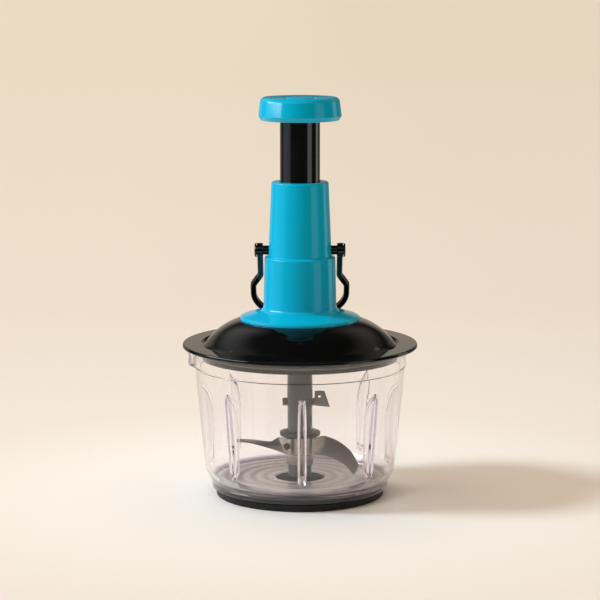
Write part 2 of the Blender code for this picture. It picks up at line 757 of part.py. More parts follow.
BEARING_BORE = 0.0062
BEARING_HUB_RADIUS = 0.0100
BEARING_FLANGE = 0.0035
BEARING_HUB = 0.004
BEARING_BOTTOM_Z = SPIGOT_BOTTOM_Z
BEARING_TOP_Z = BEARING_BOTTOM_Z + BEARING_FLANGE
BEARING_HUB_Z = BEARING_TOP_Z + BEARING_HUB


def make_bearings(lid):
    bearing = turned(
        "drive_bearing",
        [
            (SPIGOT_BORE - SLIP, BEARING_TOP_Z, 0),
            (SPIGOT_BORE - SLIP, BEARING_BOTTOM_Z, 0),
            (BEARING_BORE, BEARING_BOTTOM_Z, 0),
            (BEARING_BORE, BEARING_HUB_Z, 0),
            (BEARING_HUB_RADIUS, BEARING_HUB_Z, EDGE),
            (BEARING_HUB_RADIUS, BEARING_TOP_Z, 0),
        ],
        acetal,
        MID_STEPS,
        lid,
        segments=1,
    )
    shade(bearing)
    bush = turned(
        "guide_bush",
        [
            (BUSH_SEAT - SLIP, BUSH_TOP_Z, 0),
            (BUSH_SEAT - SLIP, BUSH_BOTTOM_Z, 0),
            (TUBE_BORE, BUSH_BOTTOM_Z, 0),
            (TUBE_BORE, BUSH_TOP_Z, 0),
        ],
        acetal,
        MID_STEPS,
        lid,
    )
    shade(bush)


# The plunger: tube, nut, stop ring, knob with its base plate, screw and plug

TUBE_WALL = 0.002
TUBE_CAP = 0.006
THRUST_FLANGE = 0.0025
THRUST_LAP = 0.0006
PRESS_END_GAP = 0.0009
NUT_HEIGHT = 0.010
STOP_RING_HEIGHT = 0.0028
KNOB_WALL = 0.0024
KNOB_CROWN = 0.005
KNOB_WEB = 0.001
THREAD_BOTTOM_Z = BEARING_HUB_Z + THRUST_FLANGE
TUBE_BOTTOM_Z = THREAD_BOTTOM_Z + THRUST_LAP + PRESS_TRAVEL + PRESS_END_GAP
TUBE_TOP_Z = KNOB_TOP_Z - KNOB_CROWN
TUBE_INNER = TUBE_RADIUS - TUBE_WALL
STOP_RING_TOP_Z = BUSH_BOTTOM_Z - FIT


def make_tube(plunger):
    cap_under = TUBE_TOP_Z - TUBE_CAP
    tube = turned(
        "plunger_tube",
        [
            (TUBE_RADIUS, TUBE_TOP_Z, 0),
            (TUBE_RADIUS, TUBE_BOTTOM_Z, 0),
            (TUBE_INNER, TUBE_BOTTOM_Z, 0),
            (TUBE_INNER, cap_under, 0),
            (SCREW_RADIUS + SLIP, cap_under, 0),
            (SCREW_RADIUS + SLIP, TUBE_TOP_Z, 0),
        ],
        black_plastic,
        MID_STEPS,
        plunger,
    )
    shade(tube)
    ring = turned(
        "stop_ring",
        [
            (BUSH_SEAT - FIT, STOP_RING_TOP_Z, 0),
            (BUSH_SEAT - FIT, STOP_RING_TOP_Z - STOP_RING_HEIGHT, 0),
            (TUBE_RADIUS + SLIP, STOP_RING_TOP_Z - STOP_RING_HEIGHT, 0),
            (TUBE_RADIUS + SLIP, STOP_RING_TOP_Z, 0),
        ],
        black_plastic,
        MID_STEPS,
        plunger,
    )
    shade(ring)


# The knob's section, in shares of its radius and of its height
DISH_EDGE = (0.391, 0.9125)
DISH_LIP = 0.419
CROWN_EDGE = 0.9412
SIDE_FOOT = 0.192
UNDER_SETBACK = 0.0019
BASE_SETBACK = 0.0038
INNER_CROWN = (0.848, 0.656)
INNER_RISE = (0.657, 0.775)
INNER_ROOT = 0.75
KNOB_CROWN_ROUND = 0.0036
KNOB_INNER_ROUND = 0.002
KNOB_BASE_THICKNESS = 0.0018
KNOB_BASE_LIFT = 0.0002
KNOB_DISC_RADIUS = 0.0100
KNOB_DISC_DEPTH = 0.0022


def make_knob(plunger):
    socket = TUBE_RADIUS + SLIP
    boss = socket + KNOB_WALL
    under_top = TUBE_TOP_Z + SLIP
    pocket = under_top + KNOB_WEB
    base_low = KNOB_BASE_Z + KNOB_BASE_LIFT
    base_high = base_low + KNOB_BASE_THICKNESS
    base_clear = base_high + FIT
    boss_low = base_high + SOFT_EDGE
    base_seat = KNOB_RADIUS - BASE_SETBACK
    inner_crown_z = KNOB_BASE_Z + INNER_CROWN[1] * KNOB_HEIGHT
    dish_z = KNOB_BASE_Z + DISH_EDGE[1] * KNOB_HEIGHT
    knob = turned(
        "knob",
        [
            (KNOB_DISC_RADIUS + SLIP, dish_z, 0),
            (DISH_EDGE[0] * KNOB_RADIUS, dish_z, 0),
            (DISH_LIP * KNOB_RADIUS, KNOB_TOP_Z, EDGE),
            (CROWN_EDGE * KNOB_RADIUS, KNOB_TOP_Z, KNOB_CROWN_ROUND),
            (KNOB_RADIUS, KNOB_BASE_Z + SIDE_FOOT * KNOB_HEIGHT, STEP),
            (KNOB_RADIUS - UNDER_SETBACK, KNOB_BASE_Z, EDGE),
            (base_seat, KNOB_BASE_Z, 0),
            (base_seat, base_clear, 0),
            (INNER_CROWN[0] * KNOB_RADIUS, inner_crown_z, KNOB_INNER_ROUND),
            (INNER_RISE[0] * KNOB_RADIUS, KNOB_BASE_Z + INNER_RISE[1] * KNOB_HEIGHT, 0),
            (boss, KNOB_BASE_Z + INNER_ROOT * KNOB_HEIGHT, 0),
            (boss, boss_low, 0),
            (socket, boss_low, 0),
            (socket, under_top, 0),
            (SCREW_RADIUS + SLIP, under_top, 0),
            (SCREW_RADIUS + SLIP, pocket, 0),
            (KNOB_DISC_RADIUS + SLIP, pocket, 0),
        ],
        cyan_plastic,
        LARGE_STEPS,
        plunger,
    )
    shade(knob)
    base = turned(
        "knob_base",
        [
            (base_seat - SLIP, base_high, 0),
            (base_seat - SLIP, base_low, 0),
            (socket, base_low, 0),
            (socket, base_high, 0),
        ],
        cyan_plastic,
        MID_STEPS,
        plunger,
    )
    shade(base)
    head_bottom = pocket + SLIP
    head_top = head_bottom + SCREW_HEAD_HEIGHT
    tip = TUBE_TOP_Z - TUBE_CAP + SOFT_EDGE
    screw = turned(
        "knob_screw",
        [
            (0, head_top, 0),
            (SCREW_HEAD_RADIUS, head_top, FINE_EDGE),
            (SCREW_HEAD_RADIUS, head_bottom, 0),
            (SCREW_RADIUS, head_bottom, 0),
            (SCREW_RADIUS, tip, 0),
            (0, tip, 0),
        ],
        turned_steel,
        SMALL_STEPS,
        plunger,
        segments=1,
        is_ring=False,
    )
    shade(screw)
    disc_top = KNOB_TOP_Z - SLIP
    disc_under = disc_top - KNOB_DISC_DEPTH
    hollow = SCREW_HEAD_RADIUS + SOFT_EDGE
    disc = turned(
        "knob_plug",
        [
            (0, disc_top, 0),
            (KNOB_DISC_RADIUS, disc_top, EDGE),
            (KNOB_DISC_RADIUS, disc_under, 0),
            (hollow, disc_under, 0),
            (hollow, head_top + SLIP, 0),
            (0, head_top + SLIP, 0),
        ],
        cyan_plastic,
        MID_STEPS,
        plunger,
        segments=2,
        is_ring=False,
    )
    shade(disc)


# The drive: helical screw, hex coupling, spring seat and return spring

SCREW_LOBES = 4
LOBE_POINTS = 4
THREAD_MEAN = 0.0056
THREAD_DEPTH = 0.0009
THREAD_PLAY = 0.0006
THREAD_TOP_Z = TUBE_BOTTOM_Z + FIT + NUT_HEIGHT + PRESS_END_GAP
TWIST_STEP = math.radians(20)


def twisted_form(mean, depth, bottom, top):
    """A lobed rod whose section turns once in each lead, closed at both ends."""
    form = bmesh.new()
    rise = DRIVE_LEAD * TWIST_STEP / math.tau
    count = SCREW_LOBES * LOBE_POINTS
    layers = math.ceil((top - bottom) / rise)
    rings = []
    for layer in range(layers + 1):
        z = min(bottom + layer * rise, top)
        ring = []
        for index in range(count):
            angle = math.tau * index / count
            reach = mean + depth * math.cos(SCREW_LOBES * angle)
            turn = angle + math.tau * z / DRIVE_LEAD
            ring.append(form.verts.new((reach * math.cos(turn), reach * math.sin(turn), z)))
        rings.append(ring)
    for low, high in zip(rings, rings[1:]):
        for index in range(count):
            after = (index + 1) % count
            form.faces.new((low[index], low[after], high[after], high[index]))
    form.faces.new(list(reversed(rings[0])))
    form.faces.new(rings[-1])
    return form


DRIVE_JOURNAL = BEARING_BORE - FIT
THRUST_RADIUS = 0.0092
SPINDLE_RADIUS = 0.0040
SPINDLE_LIFT = 0.004
TOP_STUD_RADIUS = 0.003
TOP_STUD_SIDES = 16
SEAT_RISE = 0.0032
SEAT_SPIGOT = 0.003
SPINDLE_BOTTOM_Z = SHAFT_TOP_Z + SPINDLE_LIFT
SPRING_SEAT_TOP_Z = THREAD_TOP_Z + SEAT_RISE
SEAT_SPIGOT_TOP_Z = SPRING_SEAT_TOP_Z + SEAT_SPIGOT


def make_drive_screw(drive):
    form = twisted_form(THREAD_MEAN, THREAD_DEPTH, THREAD_BOTTOM_Z, THREAD_TOP_Z)
    screw = add("drive_screw", mesh_of("drive_screw", form), turned_steel, drive)
    spindle = turned(
        "drive_spindle",
        [
            (0, THREAD_BOTTOM_Z + THRUST_LAP, 0),
            (THRUST_RADIUS, THREAD_BOTTOM_Z + THRUST_LAP, 0),
            (THRUST_RADIUS, BEARING_HUB_Z + SLIP, 0),
            (DRIVE_JOURNAL, BEARING_HUB_Z + SLIP, 0),
            (DRIVE_JOURNAL, BEARING_BOTTOM_Z, 0),
            (SPINDLE_RADIUS, BEARING_BOTTOM_Z, 0),
            (SPINDLE_RADIUS, SPINDLE_BOTTOM_Z, 0),
            (0, SPINDLE_BOTTOM_Z, 0),
        ],
        turned_steel,
        SMALL_STEPS,
        is_ring=False,
    )
    stud = (0, 0, THREAD_TOP_Z - SOFT_EDGE, SEAT_SPIGOT_TOP_Z, TOP_STUD_RADIUS)
    top = as_cutter(rods("drive_top", [stud], turned_steel, sides=TOP_STUD_SIDES))
    combine(screw, as_cutter(spindle), "UNION")
    combine(screw, top, "UNION")
    shade(screw)


HEX_FLATS = 0.0090
HEX_SHARE = 0.262
HEX_LAP = 0.0032
COUPLING_HEAD_RADIUS = 0.0085
COUPLING_HEAD_SIDES = 24
COUPLING_SKIN = 0.0012
HEX_BOTTOM_Z = SHAFT_TOP_Z - HEX_SHARE * SHAFT_LENGTH
COUPLING_TOP_Z = SLEEVE_TOP_Z - SLIP


def hex_form(flats, bottom, top):
    """A six-sided bar, upright on the axis."""
    form = bmesh.new()
    middle = Matrix.Translation((0, 0, (bottom + top) / 2))
    cylinder_bm(form, flats / math.sqrt(3), top - bottom, middle, 6)
    return form


def make_coupling(drive):
    head_z = SPINDLE_BOTTOM_Z - COUPLING_SKIN
    form = hex_form(HEX_FLATS, HEX_BOTTOM_Z, head_z + HEX_LAP)
    coupling = add("drive_coupling", mesh_of("drive_coupling", form), grey_plastic, drive)
    span = (0, 0, head_z, COUPLING_TOP_Z, COUPLING_HEAD_RADIUS)
    head = as_cutter(rods("coupling_head", [span], grey_plastic, sides=COUPLING_HEAD_SIDES))
    bore = (0, 0, SPINDLE_BOTTOM_Z - SLIP, COUPLING_TOP_Z + OVERCUT, SPINDLE_RADIUS + SLIP)
    combine(coupling, head, "UNION")
    combine(coupling, as_cutter(rods("coupling_socket", [bore], grey_plastic)), "DIFFERENCE")
    shade(coupling)


def make_nut(plunger):
    bottom = TUBE_BOTTOM_Z + FIT
    top = bottom + NUT_HEIGHT
    nut = rods("drive_nut", [(0, 0, bottom, top, TUBE_INNER - SLIP)], acetal, plunger, sides=MID_STEPS)
    form = twisted_form(THREAD_MEAN + THREAD_PLAY, THREAD_DEPTH, bottom - OVERCUT, top + OVERCUT)
    bore = as_cutter(add("nut_bore", mesh_of("nut_bore", form), acetal))
    combine(nut, bore, "DIFFERENCE")
    shade(nut)


SPRING_WIRE = 0.0013
SPRING_GAP = 0.0024
SPRING_SEAT_GAP = 0.0007
SPRING_CURLS = 10
CURL_POINTS = 8
SPRING_RADIUS = TUBE_INNER - SPRING_GAP


def make_spring(drive, lid):
    guide = SPRING_RADIUS - SHAFT_SINK
    disc = TUBE_INNER - SPRING_SEAT_GAP
    seat = turned(
        "spring_seat",
        [
            (guide, SEAT_SPIGOT_TOP_Z, FINE_EDGE),
            (guide, SPRING_SEAT_TOP_Z, 0),
            (disc, SPRING_SEAT_TOP_Z, 0),
            (disc, THREAD_TOP_Z + SLIP, 0),
            (TOP_STUD_RADIUS + SLIP, THREAD_TOP_Z + SLIP, 0),
            (TOP_STUD_RADIUS + SLIP, SEAT_SPIGOT_TOP_Z, 0),
        ],
        acetal,
        SMALL_STEPS,
        drive,
        segments=1,
    )
    shade(seat)
    low = SPRING_SEAT_TOP_Z + SPRING_WIRE / 2 + SLIP
    high = TUBE_TOP_Z - TUBE_CAP - SPRING_WIRE / 2 - SLIP
    count = SPRING_CURLS * CURL_POINTS
    points = []
    for index in range(count + 1):
        angle = math.tau * index / CURL_POINTS
        z = low + (high - low) * index / count
        points.append(Vector((SPRING_RADIUS * math.cos(angle), SPRING_RADIUS * math.sin(angle), z)))
    curve = bpy.data.curves.new("return_spring", "CURVE")
    curve.dimensions = "3D"
    curve.bevel_depth = SPRING_WIRE / 2
    curve.bevel_resolution = 1
    curve.use_fill_caps = True
    spline = curve.splines.new("POLY")
    spline.points.add(count)
    for spot, point in zip(spline.points, points):
        spot.co = (*point, 1)
    spring = welded("return_spring", curve, spring_steel)
    spring.parent = lid
    gaps = []
    for index, point in enumerate(points):
        for other in points[index + CURL_POINTS - 2:]:
            gaps.append((point - other).length - SPRING_WIRE)
    print(f"return_spring's least gap to itself: {min(gaps) * 1000:.2f} mm")


# The blade unit: shaft, collar, band, ring, bush, two lower blades, upper blade and fixings

SOCKET_SHARE = 0.306
PIVOT_BUSH_RADIUS = 0.0055
PIVOT_BUSH_LENGTH = 0.0120
BUSH_PLAY = 0.0002
BUSH_LIFT = 0.0002
COLLAR_RISE = 0.0294
COLLAR_HEIGHT = 0.0025
COLLAR_WIDTH = 0.0052
COLLAR_DISH = 0.0004
BAND_RISE = 0.0169
BAND_HEIGHT = 0.0118
BAND_RADIUS = 0.0120
BAND_SIDES = 12
STEEL_RING_RADIUS = 0.0095
STEEL_RING_RISE = 0.0085
STEEL_RING_HEIGHT = 0.0079
STEP_SHARE = 0.62
UPPER_BLADE_SHARE = 0.5803
UPPER_BLADE_WIDTH = 0.0064
UPPER_BLADE_SPAN = 0.0246
UPPER_BLADE_LEAN = math.radians(35)
SOCKET_BOTTOM_Z = SHAFT_TOP_Z - SOCKET_SHARE * SHAFT_LENGTH
COLLAR_BOTTOM_Z = SHAFT_FOOT_Z + COLLAR_RISE
COLLAR_TOP_Z = COLLAR_BOTTOM_Z + COLLAR_HEIGHT
COLLAR_RADIUS = SHAFT_RADIUS + COLLAR_WIDTH
BAND_BOTTOM_Z = SHAFT_FOOT_Z + BAND_RISE
BAND_TOP_Z = BAND_BOTTOM_Z + BAND_HEIGHT
STEEL_RING_BOTTOM_Z = SHAFT_FOOT_Z + STEEL_RING_RISE
STEEL_RING_TOP_Z = STEEL_RING_BOTTOM_Z + STEEL_RING_HEIGHT
UPPER_BLADE_Z = SHAFT_FOOT_Z + UPPER_BLADE_SHARE * SHAFT_LENGTH


def make_shaft(rotor):
    step_z = SHAFT_FOOT_Z + STEP_SHARE * SHAFT_LENGTH
    waist = SHAFT_RADIUS - SLIP
    bush_end = SHAFT_FOOT_Z + PIVOT_BUSH_LENGTH + SLIP
    pin_end = PIN_TOP_Z + SOFT_EDGE
    shaft = turned(
        "blade_shaft",
        [
            (0, SHAFT_TOP_Z, 0),
            (SHAFT_RADIUS - EDGE, SHAFT_TOP_Z, 0),
            (SHAFT_RADIUS, SHAFT_TOP_Z - EDGE, 0),
            (SHAFT_RADIUS, step_z, 0),
            (waist, step_z - SLIP, 0),
            (waist, COLLAR_BOTTOM_Z - SLIP, 0),
            (HUB_RADIUS, COLLAR_BOTTOM_Z - 2 * SLIP, 0),
            (HUB_RADIUS, SHAFT_FOOT_Z, FINE_EDGE),
            (PIVOT_BUSH_RADIUS + SLIP, SHAFT_FOOT_Z, 0),
            (PIVOT_BUSH_RADIUS + SLIP, bush_end, 0),
            (PIN_RADIUS + FIT, bush_end, 0),
            (PIN_RADIUS + FIT, pin_end, 0),
            (0, pin_end, 0),
        ],
        grey_plastic,
        MID_STEPS,
        rotor,
        segments=1,
        is_ring=False,
    )
    form = hex_form(HEX_FLATS + 2 * FIT, SOCKET_BOTTOM_Z, SHAFT_TOP_Z + OVERCUT)
    socket = as_cutter(add("shaft_socket", mesh_of("shaft_socket", form), grey_plastic))
    combine(shaft, socket, "DIFFERENCE")
    window = as_cutter(upper_blade_slot("shaft_window", SLIP, UPPER_BLADE_SPAN))
    combine(shaft, window, "DIFFERENCE")
    shade(shaft)


def upper_blade_slot(name, play, length):
    """The bar that runs through the shaft, grown by a clearance all round."""
    form = bmesh.new()
    size = (length, UPPER_BLADE_WIDTH + 2 * play, BLADE_THICKNESS + 2 * play, 1)
    lean = Matrix.Rotation(UPPER_BLADE_LEAN, 4, "X")
    place = Matrix.Translation((0, 0, UPPER_BLADE_Z)) @ lean @ Matrix.Diagonal(size)
    bmesh.ops.create_cube(form, size=1, matrix=place)
    return add(name, mesh_of(name, form), blade_steel)


def make_rotor_rings(rotor):
    collar = turned(
        "shaft_collar",
        [
            (SHAFT_RADIUS + SOFT_EDGE, COLLAR_TOP_Z + COLLAR_DISH, 0),
            (COLLAR_RADIUS, COLLAR_TOP_Z, EDGE),
            (COLLAR_RADIUS, COLLAR_BOTTOM_Z, FINE_EDGE),
            (SHAFT_RADIUS, COLLAR_BOTTOM_Z, 0),
            (SHAFT_RADIUS, COLLAR_TOP_Z + COLLAR_DISH, 0),
        ],
        grey_plastic,
        MID_STEPS,
        rotor,
        segments=2,
    )
    shade(collar)
    band = turned(
        "blade_band",
        [
            (BAND_RADIUS, BAND_TOP_Z, 0),
            (BAND_RADIUS, BAND_BOTTOM_Z, 0),
            (HUB_RADIUS + FIT, BAND_BOTTOM_Z, 0),
            (HUB_RADIUS + FIT, BAND_TOP_Z, 0),
        ],
        blade_steel,
        BAND_SIDES,
        rotor,
    )
    combine(band, band_screw_hole, "DIFFERENCE")
    ring = turned(
        "blade_ring",
        [
            (STEEL_RING_RADIUS, STEEL_RING_TOP_Z, FINE_EDGE),
            (STEEL_RING_RADIUS, STEEL_RING_BOTTOM_Z, FINE_EDGE),
            (HUB_RADIUS + SLIP, STEEL_RING_BOTTOM_Z, 0),
            (HUB_RADIUS + SLIP, STEEL_RING_TOP_Z, 0),
        ],
        turned_steel,
        MID_STEPS,
        rotor,
        segments=1,
    )
    shade(ring)
    bush_top = SHAFT_FOOT_Z + PIVOT_BUSH_LENGTH
    bush_bottom = SHAFT_FOOT_Z + BUSH_LIFT
    bush = turned(
        "pivot_bush",
        [
            (PIVOT_BUSH_RADIUS, bush_top, 0),
            (PIVOT_BUSH_RADIUS, bush_bottom, 0),
            (PIN_RADIUS + BUSH_PLAY, bush_bottom, 0),
            (PIN_RADIUS + BUSH_PLAY, bush_top, 0),
        ],
        acetal,
        SMALL_STEPS,
        rotor,
    )
    shade(bush)


def smooth_line(points, per_span=3):
    """A smooth line through the points, by Catmull and Rom's rule."""
    line = []
    ends = [2 * points[0] - points[1], *points, 2 * points[-1] - points[-2]]
    for first, second, third, fourth in zip(ends, ends[1:], ends[2:], ends[3:]):
        for step in range(per_span):
            t = step / per_span
            straight = second * 2 + (third - first) * t
            bend = (first * 2 - second * 5 + third * 4 - fourth) * t * t
            twist = (second * 3 - first - third * 3 + fourth) * t ** 3
            line.append((straight + bend + twist) / 2)
    line.append(points[-1])
    return line


def ribbon(name, stations, place, look, rotor):
    """A twisted strip of sheet between an upper and a lower edge.

    The stations are pairs of points in shares, and place turns a share into a point.
    """
    upper = smooth_line([place(pair[0]) for pair in stations])
    lower = smooth_line([place(pair[1]) for pair in stations])
    form = bmesh.new()
    tops = [form.verts.new(point) for point in upper]
    bottoms = [form.verts.new(point) for point in lower]
    for index in range(len(tops) - 1):
        after = index + 1
        form.faces.new((bottoms[index], bottoms[after], tops[after], tops[index]))
    strip = add(name, mesh_of(name, form), look, rotor)
    sheet = strip.modifiers.new("Sheet", "SOLIDIFY")
    sheet.thickness = BLADE_THICKNESS
    sheet.offset = 0
    return strip


# The lower blades' edges, in shares of the band's radius, and of its height from its foot
RIGHT_BLADE_SHARES = (
    ((0.708, -0.858, 0.983), (0.667, -0.900, 0.034)),
    ((1.258, -0.250, 1.025), (1.017, -0.900, 0.000)),
    ((1.567, -0.033, 0.932), (1.433, -0.900, -0.042)),
    ((2.208, -0.092, 0.678), (1.917, -0.917, -0.186)),
    ((2.758, -0.308, 0.314), (2.375, -1.017, -0.398)),
    ((3.150, -0.600, -0.102), (2.717, -1.183, -0.644)),
    ((3.417, -1.000, -0.627), (3.125, -1.475, -1.085)),
)
LEFT_BLADE_SHARES = (
    ((-0.500, -1.008, 0.975), (-0.500, -1.008, 0.034)),
    ((-1.167, -0.458, 1.000), (-0.775, -0.933, 0.059)),
    ((-1.458, -0.458, 0.873), (-1.167, -0.917, 0.203)),
    ((-1.808, -0.542, 0.737), (-1.642, -0.908, 0.381)),
    ((-2.833, -0.292, 0.780), (-2.817, -1.000, 0.737)),
    ((-3.583, -0.267, 0.814), (-3.575, -0.750, 0.763)),
    ((-3.883, -0.467, 0.805), (-3.892, -0.583, 0.797)),
)
BLADE_SCREW_ANGLE = math.radians(-129)
BLADE_SCREW_SHARE = 0.542
SCREW_HOLE_LENGTH = 0.0085
SCREW_HOLE_MIDDLE = 0.0017
BLADE_HEAD_RADIUS = 0.0023
BLADE_HEAD_HEIGHT = 0.0011
BLADE_HEAD_MIDDLE = 0.00325
BLADE_HEAD_SIDES = 16
SHANK_LENGTH = 0.0048
SHANK_MIDDLE = 0.0009


def from_band(share):
    """A point from shares of the band's radius and height."""
    return Vector((share[0] * BAND_RADIUS, share[1] * BAND_RADIUS, BAND_BOTTOM_Z + share[2] * BAND_HEIGHT))


def blade_screw_matrix(distance):
    """Where the blade screw's own axis lies, at a distance outside the band."""
    turn = Matrix.Rotation(BLADE_SCREW_ANGLE, 4, "Z")
    height = BAND_BOTTOM_Z + BLADE_SCREW_SHARE * BAND_HEIGHT
    place = Matrix.Translation((BAND_RADIUS + distance, 0, height))
    return turn @ place @ Matrix.Rotation(math.pi / 2, 4, "Y")


def make_blade_screw_hole():
    form = bmesh.new()
    cylinder_bm(form, PILOT_RADIUS, SCREW_HOLE_LENGTH, blade_screw_matrix(SCREW_HOLE_MIDDLE), SCREW_STEPS)
    mesh = mesh_of("blade_screw_hole", form)
    return as_cutter(add("blade_screw_hole", mesh, blade_steel))


def make_lower_blades(rotor):
    ribbon("right_blade", RIGHT_BLADE_SHARES, from_band, blade_steel, rotor)
    left = ribbon("left_blade", LEFT_BLADE_SHARES, from_band, blade_steel, rotor)
    combine(left, band_screw_hole, "DIFFERENCE")
    form = bmesh.new()
    head_place = blade_screw_matrix(BLADE_HEAD_MIDDLE)
    cylinder_bm(form, BLADE_HEAD_RADIUS, BLADE_HEAD_HEIGHT, head_place, BLADE_HEAD_SIDES)
    screw = add("blade_screw", mesh_of("blade_screw", form), turned_steel, rotor)
    shank = bmesh.new()
    cylinder_bm(shank, SCREW_RADIUS, SHANK_LENGTH, blade_screw_matrix(SHANK_MIDDLE), SCREW_STEPS)
    mesh = mesh_of("blade_screw_shank", shank)
    combine(screw, as_cutter(add("blade_screw_shank", mesh, turned_steel)), "UNION")
    shade(screw)


# The upper blade's wing, in shares of its bar's width from the bar's middle
UPPER_WING_SHARES = (
    ((1.641, 0.344, 1.109), (1.578, -0.531, -0.281)),
    ((2.188, 0.359, 1.141), (2.344, -0.578, -0.375)),
    ((2.703, 0.312, 1.094), (3.266, -0.547, -0.469)),
)
WING_HOLE_RADIUS = 0.0011
WING_HOLE_SHARES = (2.125, -0.016, 0.594)
WING_HOLE_TILT = math.radians(60)


def from_bar(share):
    """A point from shares of the upper blade's bar width."""
    return Vector((0, 0, UPPER_BLADE_Z)) + Vector(share) * UPPER_BLADE_WIDTH


def make_upper_blade(rotor):
    bar = upper_blade_slot("upper_blade", 0, UPPER_BLADE_SPAN)
    bar.parent = rotor
    wing = ribbon("upper_wing", UPPER_WING_SHARES, from_bar, blade_steel, None)
    combine(bar, as_cutter(wing), "UNION")
    form = bmesh.new()
    place = Matrix.Translation(from_bar(WING_HOLE_SHARES)) @ Matrix.Rotation(WING_HOLE_TILT, 4, "X")
    cylinder_bm(form, WING_HOLE_RADIUS, UPPER_BLADE_WIDTH, place, SCREW_STEPS)
    hole = as_cutter(add("wing_hole", mesh_of("wing_hole", form), blade_steel))
    combine(bar, hole, "DIFFERENCE")


# The bail: a strap handle with an eye at each end, and its two pivot pins

BAIL_RISE = 0.0045
BAIL_PIN_RADIUS = 0.0032
BAIL_PIN_SINK = 0.0015
BAIL_HEAD_RADIUS = 0.0050
BAIL_HEAD_HEIGHT = 0.0014
BAIL_EYE_GAP = 0.0011
BAIL_EYE_WIDTH = 0.0043
BAIL_KNOB_GAP = 0.0023
BAIL_HALF_WIDTH = 0.0021
BAIL_DEPTH = 0.0042
BAIL_EASE = 0.0009
BAIL_HEADROOM = 0.0040
BAIL_STANDOFF = 0.0013
BAIL_BENDS = (0.353, 0.497)
BAIL_BEND_ROUND = 0.010
BAIL_SIDES = 24
BOW_STEPS = 5
BAIL_PIVOT_Z = TOWER_SHOULDER_Z + BAIL_RISE
BAIL_EYE_INNER = SHOULDER_RADIUS + BAIL_EYE_GAP
BAIL_EYE_OUTER = BAIL_EYE_INNER + BAIL_EYE_WIDTH
BAIL_ARM_X = (BAIL_EYE_INNER + BAIL_EYE_OUTER) / 2
BAIL_WIDE_X = KNOB_RADIUS + BAIL_KNOB_GAP + BAIL_HALF_WIDTH

# The bow is a half circle that clears the pressed knob's crown when it stands up over the knob
BOW_RISE = math.sqrt((BAIL_WIDE_X - BAIL_HALF_WIDTH) ** 2 - (CROWN_EDGE * KNOB_RADIUS) ** 2)
PRESSED_TOP_Z = KNOB_TOP_Z - PRESS_TRAVEL
BAIL_LENGTH = PRESSED_TOP_Z + BAIL_HEADROOM - BOW_RISE - BAIL_PIVOT_Z + BAIL_WIDE_X


def bail_lean():
    """The lean from straight down at which the bow hangs a small gap off the dome."""
    centre, radius = dome_circle()
    inward = Vector((centre.x, BAIL_PIVOT_Z - centre.y))
    reach = radius + BAIL_DEPTH / 2 + BAIL_STANDOFF
    spread = BAIL_LENGTH ** 2 + inward.length_squared - reach ** 2
    return math.atan2(inward.x, inward.y) + math.acos(spread / (2 * BAIL_LENGTH * inward.length))


def bail_centreline():
    """The strap's middle line from the right eye to the left, x across and the arm down."""
    half = [
        (BAIL_ARM_X, 0, 0),
        (BAIL_ARM_X, -BAIL_BENDS[0] * BAIL_LENGTH, BAIL_BEND_ROUND),
        (BAIL_WIDE_X, -BAIL_BENDS[1] * BAIL_LENGTH, BAIL_BEND_ROUND),
        *arc((0, BAIL_WIDE_X - BAIL_LENGTH), BAIL_WIDE_X, 0, -math.pi / 2, BOW_STEPS),
    ]
    other = [(-x, y, radius) for x, y, radius in reversed(half[:-1])]
    return rounded(half + other, segments=3, is_ring=False)


def widened(line, half_width):
    """A closed outline that runs along both sides of a line."""
    left = []
    right = []
    for index, point in enumerate(line):
        before = line[max(index - 1, 0)]
        after = line[min(index + 1, len(line) - 1)]
        along = (after - before).normalized()
        across = Vector((-along.y, along.x)) * half_width
        left.append(point + across)
        right.append(point - across)
    return left + list(reversed(right))


def make_bail(bail_axis):
    outline = widened(bail_centreline(), BAIL_HALF_WIDTH)
    strap = flat_piece("bail", outline, BAIL_DEPTH, black_plastic)
    strap.data.transform(Matrix.Rotation(math.pi / 2, 4, "X"))
    strap.parent = bail_axis
    ease = strap.modifiers.new("Ease", "BEVEL")
    ease.width = BAIL_EASE
    ease.segments = 1
    ease.limit_method = "ANGLE"
    eyes = bmesh.new()
    bores = bmesh.new()
    for side in (-1, 1):
        lay = along_x(side * BAIL_ARM_X)
        cylinder_bm(eyes, BAIL_HEAD_RADIUS, BAIL_EYE_WIDTH, lay, BAIL_SIDES)
        cylinder_bm(bores, BAIL_PIN_RADIUS + SLIP, 3 * BAIL_EYE_WIDTH, lay)
    eye_piece = as_cutter(add("bail_eyes", mesh_of("bail_eyes", eyes), black_plastic, bail_axis))
    bore_piece = as_cutter(add("bail_bores", mesh_of("bail_bores", bores), black_plastic, bail_axis))
    combine(strap, eye_piece, "UNION")
    combine(strap, bore_piece, "DIFFERENCE")
    shade(strap)


